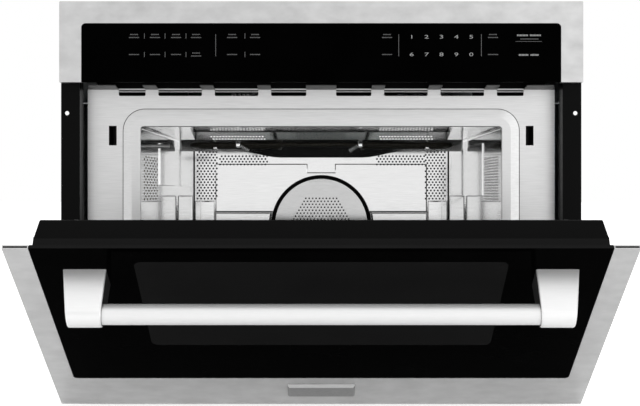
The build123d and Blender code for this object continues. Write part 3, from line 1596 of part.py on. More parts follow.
# Latch hooks: one at each side of the door
latch_half = latch_bar / 2
latch_tip = door_inner - latch_reach
for side, name in ((-1, "latch_left"), (1, "latch_right")):
    with BuildPart() as latch:
        with BuildSketch(door_side(side * latch_x)):
            with BuildLine():
                Polyline(
                    (latch_pin_out + latch_half, latch_s - latch_half),
                    (latch_tip + latch_nose_length, latch_s - latch_half),
                    (latch_tip + latch_nose_length, latch_s - latch_half - latch_nose),
                    (latch_tip + latch_nose, latch_s - latch_half - latch_nose),
                    (latch_tip, latch_s + latch_nose / 2),
                    (latch_tip + latch_nose, latch_s + latch_half),
                    (latch_pin_out + latch_half, latch_s + latch_half),
                    close=True,
                )
            make_face()
            with Locations((latch_pin_out, latch_s)):
                Circle(latch_pin_radius + running_clearance, mode=Mode.SUBTRACT)
        extrude(amount=latch_sheet / 2, both=True)
    latch.part.label = name
    export_step(latch.part, f"parts/{name}.step")

# Hinge claws: two alike, from the hinge axis through the front plate to a foot on the base pan
claw_end = plate_back + claw_foot_start + claw_foot_length
with BuildPart() as hinge_claws:
    for side in (-1, 1):
        with BuildSketch(upright(side * hinge_x)):
            with Locations((pivot_y, pivot_z)):
                Circle(claw_radius)
            with Locations(((pivot_y + claw_end) / 2, pivot_z)):
                Rectangle(claw_end - pivot_y, 2 * claw_radius)
            with Locations((claw_end - claw_foot_length / 2, (base_sheet + pivot_z) / 2)):
                Rectangle(claw_foot_length, pivot_z - base_sheet)
            with Locations((pivot_y, pivot_z)):
                Circle(hinge_pin_radius + running_clearance, mode=Mode.SUBTRACT)
        extrude(amount=claw_width / 2, both=True)
hinge_claws.part.label = "hinge_claws"
export_step(hinge_claws.part, "parts/hinge_claws.step")

# Latch brackets behind the front plate, each with a pocket for the hook
bracket_half = latch_slot_width / 2 + bracket_wall
bracket_low = latch_slot_low - bracket_margin
bracket_high = latch_slot_high + bracket_margin
with BuildPart() as latch_brackets:
    for side in (-1, 1):
        with BuildSketch(facing(plate_back + bracket_length)):
            with Locations((side * latch_slot_x, (bracket_low + bracket_high) / 2)):
                Rectangle(2 * bracket_half, bracket_high - bracket_low)
        extrude(amount=bracket_length)
        with BuildSketch(facing(plate_back + bracket_pocket)):
            with Locations((side * latch_slot_x, latch_slot_centre)):
                Rectangle(latch_slot_width, latch_slot_high - latch_slot_low)
        extrude(amount=bracket_pocket, mode=Mode.SUBTRACT)
latch_brackets.part.label = "latch_brackets"
export_step(latch_brackets.part, "parts/latch_brackets.step")

# Door switches: two alike on the outer side of each latch bracket
switch_x = latch_slot_x + bracket_half + switch_width / 2
with BuildPart() as door_switches:
    with BuildSketch(facing(plate_back + bracket_wall + switch_length)):
        for side in (-1, 1):
            with Locations((side * switch_x, latch_slot_centre)):
                with GridLocations(1, switch_pitch, 1, 2):
                    Rectangle(switch_width, switch_height)
    extrude(amount=switch_length)
door_switches.part.label = "door_switches"
export_step(door_switches.part, "parts/door_switches.step")

# Terminal box inside the rear panel, with its cord gland
with BuildPart() as terminal_box:
    with BuildSketch(facing(rear_inner)):
        with Locations((gland_x, gland_z)):
            RectangleRounded(terminal_width, terminal_height, mouth_radius)
    extrude(amount=terminal_depth)
    with BuildSketch(facing(casing_rear + gland_reach)):
        with Locations((gland_x, gland_z)):
            Circle(gland_radius)
    extrude(amount=gland_reach + casing_sheet)
    fillet(terminal_box.edges().filter_by(GeomType.CIRCLE).group_by(Axis.Y)[-1], 2 * seat_gap)
    with BuildSketch(facing(casing_rear + gland_reach)):
        with Locations((gland_x, gland_z)):
            Circle(gland_bore)
    extrude(amount=gland_reach + casing_sheet + terminal_depth / 2, mode=Mode.SUBTRACT)
terminal_box.part.label = "terminal_box"
export_step(terminal_box.part, "parts/terminal_box.step")
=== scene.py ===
import json
import math

import bpy
from mathutils import Matrix, Vector

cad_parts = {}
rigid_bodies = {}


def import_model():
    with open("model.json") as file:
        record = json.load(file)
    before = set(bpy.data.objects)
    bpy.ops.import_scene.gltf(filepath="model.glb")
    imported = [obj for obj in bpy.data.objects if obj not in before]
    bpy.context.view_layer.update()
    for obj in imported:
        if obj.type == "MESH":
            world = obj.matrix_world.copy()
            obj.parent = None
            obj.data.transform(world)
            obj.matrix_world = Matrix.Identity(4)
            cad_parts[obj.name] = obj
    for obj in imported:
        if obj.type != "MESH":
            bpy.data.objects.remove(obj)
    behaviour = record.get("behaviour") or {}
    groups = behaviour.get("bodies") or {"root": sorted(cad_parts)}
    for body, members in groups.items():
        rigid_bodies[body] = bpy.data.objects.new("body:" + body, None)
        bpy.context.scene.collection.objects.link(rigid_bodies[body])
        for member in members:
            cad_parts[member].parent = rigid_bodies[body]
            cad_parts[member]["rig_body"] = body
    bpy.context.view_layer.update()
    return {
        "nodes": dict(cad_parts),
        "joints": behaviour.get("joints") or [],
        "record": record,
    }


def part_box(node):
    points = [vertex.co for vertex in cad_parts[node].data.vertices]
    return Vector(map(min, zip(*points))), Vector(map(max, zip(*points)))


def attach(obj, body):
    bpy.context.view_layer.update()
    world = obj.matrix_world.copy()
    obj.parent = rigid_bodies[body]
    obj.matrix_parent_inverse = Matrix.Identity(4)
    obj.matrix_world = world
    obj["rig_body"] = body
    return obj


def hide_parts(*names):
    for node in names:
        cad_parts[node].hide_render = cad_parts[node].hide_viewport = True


bl_info = {
    "name": "Speed Oven",
    "version": (1, 0, 0),
    "blender": (4, 5, 0),
    "location": "3D View > Sidebar > Speed Oven",
    "description": "Dresses the frame of a built-in speed oven with its finishes and finer pieces",
    "category": "Object",
}

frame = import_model()
nodes = frame["nodes"]
finishes = {}

MM = 0.001
# Inputs and output of the Mix node that hold its colours
MIX_A, MIX_B, MIX_RESULT = 6, 7, 2
# Places in millimetres that several pieces share
LINER_FACE = 172
FAN_HEIGHT = 195
# How far a print stands off the glass, in millimetres
PRINT_DEPTH = 0.06

# The door's own frame: X along the hinge, -Y out of its face and Z up it when it is shut
hinge = next(joint for joint in frame["joints"] if joint["name"] == "door_hinge")
door_turn = Matrix.Rotation(math.radians(-hinge["range_deg"][0]), 4, "X")
door_place = Matrix.Translation(hinge["pos_m"]) @ door_turn
door_up = door_turn.to_3x3() @ Vector((0, 0, 1))


def linear(hex_colour):
    """Turns an sRGB hex colour into the linear colour that a shader takes."""
    channels = []
    for start in (1, 3, 5):
        value = int(hex_colour[start:start + 2], 16) / 255
        channels.append(value / 12.92 if value <= 0.04045 else ((value + 0.055) / 1.055) ** 2.4)
    return (*channels, 1.0)


def add_node(tree, kind, inputs=None, **settings):
    """Adds a shader node with its settings, and sets each input to a value or links it to a socket."""
    node = tree.nodes.new(kind)
    for name, value in settings.items():
        setattr(node, name, value)
    for name, value in (inputs or {}).items():
        if isinstance(value, bpy.types.NodeSocket):
            tree.links.new(value, node.inputs[name])
        else:
            node.inputs[name].default_value = value
    return node


def start_material(name, metallic=0.0, roughness=0.5, **sockets):
    """A new material with its shader's plain values set."""
    material = bpy.data.materials.new(name)
    material.use_nodes = True
    shader = material.node_tree.nodes["Principled BSDF"]
    shader.inputs["Metallic"].default_value = metallic
    shader.inputs["Roughness"].default_value = roughness
    for socket, value in sockets.items():
        shader.inputs[socket.replace("_", " ")].default_value = value
    return material, material.node_tree, shader


def object_pattern(tree, size_mm, stretch=(1, 1, 1), detail=3.0):
    """Noise of a real grain size, on the piece's own coordinates, longer along the stretched axes."""
    place = add_node(tree, "ShaderNodeTexCoord")
    scale = tuple(1 / factor for factor in stretch)
    mapping = add_node(tree, "ShaderNodeMapping", {
        "Vector": place.outputs["Object"], "Scale": scale,
    })
    return add_node(tree, "ShaderNodeTexNoise", {
        "Vector": mapping.outputs["Vector"], "Scale": 1000 / size_mm, "Detail": detail,
    })


def vary(tree, pattern, low, high):
    """Spreads a grey pattern between two colours or two numbers."""
    # Noise keeps near the middle of its range, so only the inner half is spread
    sides = {"From Min": 0.25, "From Max": 0.75}
    if isinstance(low, tuple):
        ramp = add_node(tree, "ShaderNodeMapRange", {"Value": pattern.outputs["Fac"], **sides})
        return add_node(tree, "ShaderNodeMix", {
            "Factor": ramp.outputs["Result"], MIX_A: low, MIX_B: high,
        }, data_type="RGBA").outputs[MIX_RESULT]
    return add_node(tree, "ShaderNodeMapRange", {
        "Value": pattern.outputs["Fac"], "To Min": low, "To Max": high, **sides,
    }).outputs["Result"]


def bumped(tree, shader, pattern, depth_mm):
    """Raises a pattern's light parts off the surface by a real depth."""
    bump = add_node(tree, "ShaderNodeBump", {
        "Height": pattern.outputs["Fac"], "Distance": depth_mm / 1000, "Strength": 1.0,
    })
    tree.links.new(bump.outputs["Normal"], shader.inputs["Normal"])


def metal(name, dark, light, grain_mm, stretch, rough, depth_mm=0.0, metallic=1.0, detail=3.0):
    """Sheet or drawn metal with a grain that varies its colour and roughness."""
    material, tree, shader = start_material(name, metallic=metallic)
    grain = object_pattern(tree, grain_mm, stretch, detail)
    tree.links.new(vary(tree, grain, linear(dark), linear(light)), shader.inputs["Base Color"])
    tree.links.new(vary(tree, grain, rough[1], rough[0]), shader.inputs["Roughness"])
    if depth_mm:
        bumped(tree, shader, grain, depth_mm)
    return material


def moulded(name, dark, light, grain_mm, rough, depth_mm=0.0, **sockets):
    """Moulded, painted, fired or cast surface with a fine even grain."""
    material, tree, shader = start_material(name, **sockets)
    grain = object_pattern(tree, grain_mm)
    tree.links.new(vary(tree, grain, linear(dark), linear(light)), shader.inputs["Base Color"])
    tree.links.new(vary(tree, grain, rough[0], rough[1]), shader.inputs["Roughness"])
    if depth_mm:
        bumped(tree, shader, grain, depth_mm)
    return material


def spangled_zinc(name):
    """Hot-dip galvanised sheet: flat crystals a few millimetres wide, each a slightly different grey."""
    crystal_mm = 7.0
    material, tree, shader = start_material(name, metallic=1.0)
    place = add_node(tree, "ShaderNodeTexCoord")
    crystals = add_node(tree, "ShaderNodeTexVoronoi", {
        "Vector": place.outputs["Object"], "Scale": 1000 / crystal_mm,
    })
    grey = add_node(tree, "ShaderNodeSeparateColor", {"Color": crystals.outputs["Color"]})
    tone = add_node(tree, "ShaderNodeMix", {
        "Factor": grey.outputs["Red"], MIX_A: linear("#B0B2B4"), MIX_B: linear("#BEC1C2"),
    }, data_type="RGBA")
    rough = add_node(tree, "ShaderNodeMapRange", {
        "Value": grey.outputs["Green"], "To Min": 0.34, "To Max": 0.5,
    })
    tree.links.new(tone.outputs[MIX_RESULT], shader.inputs["Base Color"])
    tree.links.new(rough.outputs["Result"], shader.inputs["Roughness"])
    return material


def clear_glass(name, tint, roughness, opacity, gloss=0.5):
    """Soda-lime glass, seen partly through, with faint smears that vary its gloss."""
    material, tree, shader = start_material(name, Alpha=opacity, Specular_IOR_Level=gloss)
    shader.inputs["Base Color"].default_value = linear(tint)
    smear_mm = 40.0
    smears = object_pattern(tree, smear_mm)
    tree.links.new(vary(tree, smears, roughness, roughness + 0.03), shader.inputs["Roughness"])
    return material


def only(*pieces):
    """Selects these pieces and no others, with the first one active."""
    bpy.ops.object.select_all(action="DESELECT")
    for piece in pieces:
        piece.select_set(True)
    bpy.context.view_layer.objects.active = pieces[0]


def started(name):
    """Names the primitive just added, and puts its place into its mesh."""
    piece = bpy.context.object
    piece.name = name
    only(piece)
    bpy.ops.object.transform_apply()
    return piece


def block(name, low, high):
    """A box between two corners in millimetres."""
    low, high = Vector(low) * MM, Vector(high) * MM
    bpy.ops.object.select_all(action="DESELECT")
    bpy.ops.mesh.primitive_cube_add(size=1, location=(low + high) / 2)
    bpy.context.object.scale = high - low
    return started(name)


def rod(name, place, radius, length, axis, sides=24):
    """A round rod about a point in millimetres, along an axis."""
    turns = {"X": (0, math.pi / 2, 0), "Y": (math.pi / 2, 0, 0), "Z": (0, 0, 0)}
    bpy.ops.object.select_all(action="DESELECT")
    bpy.ops.mesh.primitive_cylinder_add(
        vertices=sides, radius=radius * MM, depth=length * MM,
        location=Vector(place) * MM, rotation=turns[axis])
    return started(name)


def applied(piece, kind, **settings):
    """Adds a modifier to a piece and applies it."""
    modifier = piece.modifiers.new(kind.lower(), kind)
    for name, value in settings.items():
        setattr(modifier, name, value)
    only(piece)
    bpy.ops.object.modifier_apply(modifier=modifier.name)


def repeat(piece, step, count):
    """Repeats a piece in a row, a step in millimetres apart."""
    applied(piece, "ARRAY", use_relative_offset=False, use_constant_offset=True,
            constant_offset_displace=Vector(step) * MM, count=count)


def copied(piece, name, place):
    """A copy of a piece with its own mesh, moved by a matrix."""
    copy = bpy.data.objects.new(name, piece.data.copy())
    bpy.context.scene.collection.objects.link(copy)
    copy.data.transform(place)
    return copy


def joined(*pieces):
    """Joins pieces into the first."""
    only(*pieces)
    bpy.ops.object.join()
    return pieces[0]


def punches(first, along, up, counts, radius, length, axis):
    """Rows of round punches in millimetres, every second row half a step along."""
    rows = rod("punches", first, radius, length, axis, 8)
    repeat(rows, along, counts[0])
    offset = (Vector(along) / 2 + Vector(up)) * MM
    rows = joined(rows, copied(rows, "staggered", Matrix.Translation(offset)))
    repeat(rows, Vector(up) * 2, counts[1])
    return rows


def split(piece, place, normal, **settings):
    """Divides a piece's faces along a plane, through a place in metres."""
    only(piece)
    bpy.ops.object.mode_set(mode="EDIT")
    bpy.ops.mesh.select_all(action="SELECT")
    bpy.ops.mesh.bisect(plane_co=place, plane_no=normal, **settings)
    bpy.ops.object.mode_set(mode="OBJECT")


def combined(piece, operation, *others):
    """Cuts other pieces out of a piece, or welds them to it."""
    for other in others:
        applied(piece, "BOOLEAN", operation=operation, solver="EXACT", object=other)
        bpy.data.objects.remove(other)


def shift_corners(piece, step, chosen):
    """Moves the corners that a test picks by a step in millimetres."""
    only(piece)
    bpy.ops.object.mode_set(mode="EDIT")
    bpy.ops.mesh.select_mode(type="VERT")
    bpy.ops.mesh.select_all(action="DESELECT")
    bpy.ops.object.mode_set(mode="OBJECT")
    for corner in piece.data.vertices:
        corner.select = chosen(corner.co / MM)
    bpy.ops.object.mode_set(mode="EDIT")
    bpy.ops.transform.translate(value=Vector(step) * MM)
    bpy.ops.object.mode_set(mode="OBJECT")


def take_node(node):
    """A merged copy of a solid's mesh, to be finished at the solid's own place."""
    piece = copied(nodes[node], f"{node}_finished", Matrix())
    piece.data.materials.clear()
    only(piece)
    bpy.ops.object.mode_set(mode="EDIT")
    bpy.ops.mesh.select_all(action="SELECT")
    bpy.ops.mesh.customdata_custom_splitnormals_clear()
    bpy.ops.mesh.remove_doubles(threshold=0.00001)
    bpy.ops.mesh.dissolve_limited(angle_limit=math.radians(0.5))
    bpy.ops.object.mode_set(mode="OBJECT")
    return piece


def break_edges(piece, width, segments=2, angle=30):
    """Rounds a piece's sharp edges by a width in millimetres."""
    applied(piece, "BEVEL", width=width * MM, segments=segments, limit_method="ANGLE",
            angle_limit=math.radians(angle), miter_outer="MITER_ARC")


def pick_faces(piece, chosen):
    """Selects the faces that a test picks by centre and normal, in edit mode."""
    only(piece)
    bpy.ops.object.mode_set(mode="EDIT")
    bpy.ops.mesh.select_mode(type="FACE")
    bpy.ops.mesh.select_all(action="DESELECT")
    bpy.ops.object.mode_set(mode="OBJECT")
    for face in piece.data.polygons:
        face.select = chosen(face.center / MM, face.normal)
    bpy.ops.object.mode_set(mode="EDIT")


def paint_faces(piece, finish, chosen):
    """Gives the faces that a test picks another finish."""
    piece.data.materials.append(finishes[finish])
    for face in piece.data.polygons:
        if chosen(face.center / MM, face.normal):
            face.material_index = len(piece.data.materials) - 1


def fit(piece, finish, body, *replaced, smooth=30):
    """Smooths a piece, gives it its finish, and sets it on its body in place of the solids it stands for."""
    only(piece)
    bpy.ops.object.shade_smooth_by_angle(angle=math.radians(smooth))
    applied(piece, "WEIGHTED_NORMAL", keep_sharp=True)
    if not piece.data.materials:
        piece.data.materials.append(finishes[finish])
    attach(piece, body)
    if replaced:
        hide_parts(*replaced)


def make_finishes():
    """Makes all the oven's finishes, by the record's material slots and the scene's own names."""
    # Orbitally brushed stainless steel: short crossed scratches read as a fine cloudy mottle,
    # drawn coarser than they are so that it shows
    finishes["brushed_trim"] = metal(
        "orbital_brushed_stainless", "#BABABA", "#CCCCCC", 14.0, (1.6, 1, 1), (0.38, 0.48), 0.002, detail=9.0)
    # The door's trim, brushed the same way and more even in tone
    finishes["door_steel"] = metal(
        "orbital_brushed_door_stainless", "#BDBDBD", "#C8C8C8", 14.0, (1.6, 1, 1), (0.4, 0.5), 0.002,
        detail=9.0)
    # Cold rolled stainless sheet: a faint grain along the rolling direction
    finishes["plate_steel"] = metal(
        "cold_rolled_stainless", "#CBCBCB", "#D7D7D7", 0.8, (30, 1, 1), (0.3, 0.4))
    # The same sheet painted darker as shade: creases, undersides and inner faces read as dark lines
    finishes["shaded_plate"] = metal(
        "painted_shade_cold_rolled_stainless", "#5A5A5A", "#646464", 0.8, (1, 1, 1), (0.4, 0.5))
    # Bright annealed stainless sheet: close to a mirror
    finishes["cavity_steel"] = metal(
        "bright_annealed_stainless", "#E4E4E4", "#EEEEEE", 0.8, (30, 30, 1), (0.07, 0.12))
    # The domed fan cover: the same sheet, a little rougher, and darker as painted shade inside its ring
    finishes["cover_steel"] = metal(
        "bright_annealed_cover_painted_shade", "#C4C4C4", "#CECECE", 0.8, (30, 1, 1), (0.1, 0.16))
    # Satin stainless under clear lacquer, brushed along its length: a soft white sheen
    finishes["handle_steel"] = metal(
        "satin_handle_stainless", "#EFEFEF", "#F4F4F4", 0.5, (40, 1, 1), (0.34, 0.4), metallic=0.7)
    # The badge's bare face: grey satin stainless
    finishes["badge_steel"] = metal(
        "satin_badge_stainless", "#929292", "#9C9C9C", 1.0, (4, 1, 1), (0.38, 0.46))
    # Bright annealed side walls, darker than the rest, with a grain along their depth
    finishes["wall_steel"] = metal(
        "darker_grained_wall_stainless", "#CCCCCC", "#DADADA", 0.8, (1, 30, 1), (0.07, 0.12))
    # The bar's satin, broader, so that it stays white from edge to edge
    finishes["bar_steel"] = metal(
        "satin_bar_stainless", "#EFEFEF", "#F4F4F4", 0.5, (40, 1, 1), (0.45, 0.52), metallic=0.5)
    # Zinc plated steel: a slightly warm, uneven grey
    finishes["hinge_steel"] = metal(
        "zinc_plated_hinge_steel", "#B4B4AC", "#C6C6C0", 3.0, (1, 1, 1), (0.3, 0.42))
    # Drawn stainless tube: fine lines along it
    finishes["probe_steel"] = metal("drawn_probe_steel", "#B8B8B8", "#CCCCCC", 0.4, (20, 1, 1), (0.25, 0.35))
    # Pressed steel blades: an even, half bright grey
    finishes["fan_steel"] = metal("pressed_fan_steel", "#BABABA", "#CACACA", 1.0, (1, 1, 1), (0.3, 0.42))
    # Hot-dip galvanised sheet: a spangle of flat crystals
    finishes["galvanised_steel"] = spangled_zinc("galvanised_sheet")
    # Nickel plated screws: bright and even
    finishes["plated_screw"] = metal(
        "nickel_plated_screw", "#C8C4BC", "#D8D4CC", 1.0, (1, 1, 1), (0.18, 0.26))
    # Nickel alloy heater sheath: dark olive oxide, dry and rough
    finishes["heater_sheath"] = metal(
        "oxidised_heater_sheath", "#3A3834", "#56524C", 2.0, (1, 1, 1), (0.45, 0.6), 0.01)
    # Stamped aluminium fins: pale, with a rolled grain
    finishes["magnetron_aluminium"] = metal(
        "stamped_aluminium_fins", "#C4C6C8", "#D6D8DA", 0.8, (1, 20, 1), (0.3, 0.4))
    # Vitreous enamel: deep black with a slight orange peel
    finishes["black_enamel"] = moulded(
        "black_vitreous_enamel", "#050505", "#080808", 2.0, (0.3, 0.4), 0.006, Specular_IOR_Level=0.05)
    # Moulded nylon: dull charcoal with a fine spark eroded grain
    finishes["black_plastic"] = moulded("black_moulded_nylon", "#141414", "#1E1E1E", 0.6, (0.5, 0.62), 0.01)
    # The door's black moulding: matt, with hardly a highlight
    finishes["door_moulding"] = moulded(
        "black_door_moulding", "#070707", "#0B0B0B", 0.6, (0.4, 0.5), 0.006, Specular_IOR_Level=0.04)
    # The moulding's front strip, a shade lighter where it carries the glass
    finishes["door_carrier"] = moulded(
        "black_door_carrier", "#111111", "#161616", 0.6, (0.4, 0.5), 0.006, Specular_IOR_Level=0.05)
    # Moulded acetal: smooth, waxy and near black
    finishes["latch_plastic"] = moulded("black_latch_acetal", "#1C1C1C", "#262626", 0.5, (0.35, 0.45), 0.004)
    # Phenolic switch bodies: warm ivory
    finishes["switch_plastic"] = moulded(
        "ivory_switch_phenolic", "#CFCAB8", "#DAD6C6", 0.6, (0.4, 0.5), 0.006)
    # Phenolic drive coupler: pale tan with a fine filler
    finishes["coupler_plastic"] = moulded("coupler_phenolic", "#C9C2AE", "#D6D0BE", 0.6, (0.4, 0.5), 0.006)
    # Moulded heat resistant rollers: pale and smooth
    finishes["roller_plastic"] = moulded("roller_polymer", "#D2CCBA", "#E0DBCA", 0.6, (0.35, 0.45), 0.006)
    # Black coated sheet for the choke, and black as painted shade on the duct: dull, so that their inside
    # stays dark
    finishes["choke_steel"] = moulded(
        "black_choke_and_painted_shade_steel", "#080808", "#0D0D0D", 0.8, (0.45, 0.55), 0.006, Specular_IOR_Level=0.05)
    # Lacquered motor housings: mid grey with a slight sparkle
    finishes["motor_steel"] = moulded(
        "grey_motor_lacquer", "#6C6F72", "#7C7F82", 1.5, (0.35, 0.45), 0.01, metallic=0.4)
    # Solder mask over copper: deep green with faint track ridges
    finishes["circuit_board"] = moulded("solder_masked_board", "#0C3D24", "#145233", 2.5, (0.3, 0.45), 0.02)
    # Pressed mica sheet: a dry, flaky buff
    finishes["mica"] = moulded("pressed_mica_sheet", "#A8A08C", "#C4BDA8", 1.5, (0.45, 0.6), 0.02)
    # Mineral wool slab: matt fibres with soft lumps
    finishes["mineral_wool"] = moulded("mineral_wool_slab", "#8E8A7C", "#B9B4A4", 1.2, (0.9, 1.0), 0.6)
    # Toughened glass printed black on its back: the gloss is clear, the depth is black
    finishes["black_glass"] = moulded(
        "back_printed_black_glass", "#020202", "#040404", 60.0, (0.04, 0.07), Specular_IOR_Level=0.0015)
    # The glass's top edge, painted lighter as a highlight: a thin grey line of caught light
    finishes["glass_edge"] = moulded(
        "painted_highlight_glass_edge", "#161616", "#1C1C1C", 1.0, (0.3, 0.4), Specular_IOR_Level=0.03)
    # The window's tinted film: a shade lighter than the print around it
    finishes["window_tint"] = moulded(
        "tinted_window_film", "#121212", "#161616", 60.0, (0.05, 0.08), Specular_IOR_Level=0.01)
    # Screen printed ceramic ink: pale numbers
    finishes["key_print"] = moulded("white_screen_print", "#9A9A9A", "#AAAAAA", 1.0, (0.4, 0.5))
    # The same ink in grey, for the key marks and dividers
    finishes["key_print_dim"] = moulded("grey_screen_print", "#565656", "#686868", 1.0, (0.4, 0.5))
    # Tinted inner window: dark, and seen through only a little
    finishes["window_glass"] = clear_glass("tinted_window_glass", "#060606", 0.05, 0.85, 0.04)
    # Pressed glass tray: clear with a faint green cast
    finishes["tray_glass"] = clear_glass("pressed_tray_glass", "#DCE8E4", 0.06, 0.4)
    # Blown glass bulb: clear and slightly warm
    finishes["lamp_glass"] = clear_glass("lamp_bulb_glass", "#F4EEDC", 0.05, 0.5)


class OvenSizes(bpy.types.PropertyGroup):
    """Sizes of the finer pieces."""

    glass_edge: bpy.props.FloatProperty(
        name="Glass edge", description="Width of the polished edge on the black glasses",
        default=0.0004, unit="LENGTH")
    camera_distance: bpy.props.FloatProperty(
        name="Camera distance", description="From the camera to the panel's face", default=1.6, unit="LENGTH")
    camera_height: bpy.props.FloatProperty(
        name="Camera height", description="Height of the level camera over the floor",
        default=0.244, unit="LENGTH")


class OvenColours(bpy.types.PropertyGroup):
    """Colours of the surroundings."""

    floor: bpy.props.FloatVectorProperty(
        name="Floor", description="Colour of the floor",
        subtype="COLOR", size=4, default=linear("#F4F4F4"))


def stage_floor(colour):
    """A pale floor that the camera sees as white but for the object's shadow."""
    bpy.ops.object.select_all(action="DESELECT")
    bpy.ops.mesh.primitive_plane_add(size=60, location=(0, 0, -0.0002))
    floor = bpy.context.object
    floor.name = "floor"
    material, tree, shader = start_material("matt_floor_paint", roughness=0.9, Specular_IOR_Level=0.0)
    shader.inputs["Base Color"].default_value = colour
    rays = add_node(tree, "ShaderNodeLightPath")
    seen_glow, mirrored_glow = 0.6, 0.4
    seen = add_node(tree, "ShaderNodeMath", {
        0: rays.outputs["Is Camera Ray"], 1: rays.outputs["Is Transmission Ray"],
    }, operation="MAXIMUM")
    mirrored = add_node(tree, "ShaderNodeMath", {
        0: rays.outputs["Is Glossy Ray"], 1: mirrored_glow,
    }, operation="MULTIPLY")
    level = add_node(tree, "ShaderNodeMath", {
        0: seen.outputs[0], 1: seen_glow, 2: mirrored.outputs[0],
    }, operation="MULTIPLY_ADD")
    glow = add_node(tree, "ShaderNodeEmission", {"Color": (1, 1, 1, 1), "Strength": level.outputs[0]})
    both = add_node(tree, "ShaderNodeAddShader", {0: shader.outputs[0], 1: glow.outputs[0]})
    tree.links.new(both.outputs[0], tree.nodes["Material Output"].inputs["Surface"])
    floor.data.materials.append(material)


def add_lamp(name, place, target, size, power):
    """A soft rectangular lamp that faces a point."""
    bpy.ops.object.light_add(type="AREA", location=place)
    lamp = bpy.context.object
    lamp.name = name
    lamp.data.shape = "RECTANGLE"
    lamp.data.size, lamp.data.size_y = size
    lamp.data.energy = power
    lamp.rotation_euler = (Vector(target) - Vector(place)).to_track_quat("-Z", "Y").to_euler()


def light_world(strength):
    """An even world: plain light for the object, and white for the camera and for reflections."""
    world = bpy.data.worlds.new("studio")
    bpy.context.scene.world = world
    world.use_nodes = True
    tree = world.node_tree
    background = tree.nodes["Background"]
    rays = add_node(tree, "ShaderNodeLightPath")
    seen = add_node(tree, "ShaderNodeMath", {
        0: rays.outputs["Is Camera Ray"], 1: rays.outputs["Is Glossy Ray"],
    }, operation="MAXIMUM")
    seen = add_node(tree, "ShaderNodeMath", {
        0: seen.outputs[0], 1: rays.outputs["Is Transmission Ray"],
    }, operation="MAXIMUM")
    level = add_node(tree, "ShaderNodeMapRange", {
        "Value": seen.outputs[0], "To Min": strength, "To Max": 1.0,
    })
    background.inputs["Color"].default_value = (1, 1, 1, 1)
    tree.links.new(level.outputs["Result"], background.inputs["Strength"])


class SPEEDOVEN_OT_stage(bpy.types.Operator):
    """Adds the floor, the studio light and the camera at the photograph's angle"""

    bl_idname = "speedoven.stage"
    bl_label = "Stage"

    def execute(self, context):
        sizes = context.scene.oven_sizes
        stage_floor(context.scene.oven_colours.floor)
        light_world(0.8)
        add_lamp("lamp_over_front", (0, -2.2, 3.2), (0, -0.3, 0.2), (6.0, 4.0), 20)
        add_lamp("lamp_left", (-2.6, -1.4, 1.3), (0, -0.2, 0.2), (2.4, 2.4), 3)
        add_lamp("lamp_right", (1.9, -3.3, 0.8), (0, -0.2, 0.2), (2.0, 2.0), 9)
        panel_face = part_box("control_trim")[0].y
        bpy.ops.object.camera_add(
            location=(0, panel_face - sizes.camera_distance, sizes.camera_height),
            rotation=(math.pi / 2, 0, 0))
        camera = context.object
        camera.data.sensor_width = 36
        camera.data.lens = 79.3
        camera.data.shift_x = -0.0019
        camera.data.shift_y = -0.018
        context.scene.camera = camera
        context.scene.view_settings.view_transform = "Standard"
        return {"FINISHED"}


class SPEEDOVEN_OT_finishes(bpy.types.Operator):
    """Gives every solid of the frame its finish"""

    bl_idname = "speedoven.finishes"
    bl_label = "Finishes"

    def execute(self, context):
        make_finishes()
        for entry in frame["record"]["subparts"]:
            node = nodes[entry["node"]]
            # The duct is painted black as shade, so that the vent slots stay dark
            slot = "choke_steel" if entry["node"] == "air_duct" else entry["material_slot"]
            node.data.materials.clear()
            node.data.materials.append(finishes[slot])
        return {"FINISHED"}


class SPEEDOVEN_OT_cavity(bpy.types.Operator):
    """Perforates the cavity's walls and ceiling, and rounds its mouth"""

    bl_idname = "speedoven.cavity"
    bl_label = "Cavity"

    def execute(self, context):
        walls = take_node("cavity_shell")
        shift_corners(walls, (0, 0, -13.6),
                      lambda place: place.x > 208 and 251 < place.z < 253 and -60 < place.y < 135)
        break_edges(walls, 0.6)
        lamp_side = punches((211, -211, 234.5), (0, 5, 0), (0, 0, 3.4), (29, 8), 1.3, 12, "X")
        slot = block("slot", (-216, -215, 233.6), (-205, -203, 235.8))
        repeat(slot, (0, 29, 0), 5)
        slot = joined(slot, copied(slot, "staggered", Matrix.Translation((0, 14.5 * MM, 3.4 * MM))))
        repeat(slot, (0, 0, 6.8), 8)
        combined(walls, "DIFFERENCE", joined(lamp_side, slot))
        # Two fields of slots in the ceiling, in two rows each
        for first in (-150.2, 75):
            slots = block("slots", (first - 1.2, -45, 318), (first + 1.2, -5, 322))
            repeat(slots, (4.7, 0, 0), 17)
            rear = copied(slots, "rear_slots", Matrix.Translation((2.35 * MM, 46 * MM, 0)))
            combined(walls, "DIFFERENCE", joined(slots, rear))
        fit(walls, "cavity_steel", "oven", "cavity_shell")
        paint_faces(walls, "wall_steel", lambda centre, normal: abs(normal.x) > 0.9)
        return {"FINISHED"}


def leaning_pad(low, high, *cutters):
    """A raised pad on the rear liner that leans back, so it mirrors the room above the door."""
    draft, rise, lean = 1.6, 1.8, math.radians(1.3)
    pad = block("pad", (low[0], 171.7, low[1]), (high[0], 172.4, high[1]))
    combined(pad, "DIFFERENCE", *cutters)
    pick_faces(pad, lambda centre, normal: normal.y < -0.9)
    bpy.ops.mesh.inset(thickness=draft * MM, depth=rise * MM)
    bpy.ops.object.mode_set(mode="OBJECT")
    for corner in pad.data.vertices:
        if corner.co.y < 0.171:
            corner.co.y += (corner.co.z - (low[1] + draft) * MM) * math.tan(lean)
    break_edges(pad, 0.5, angle=20)
    return pad


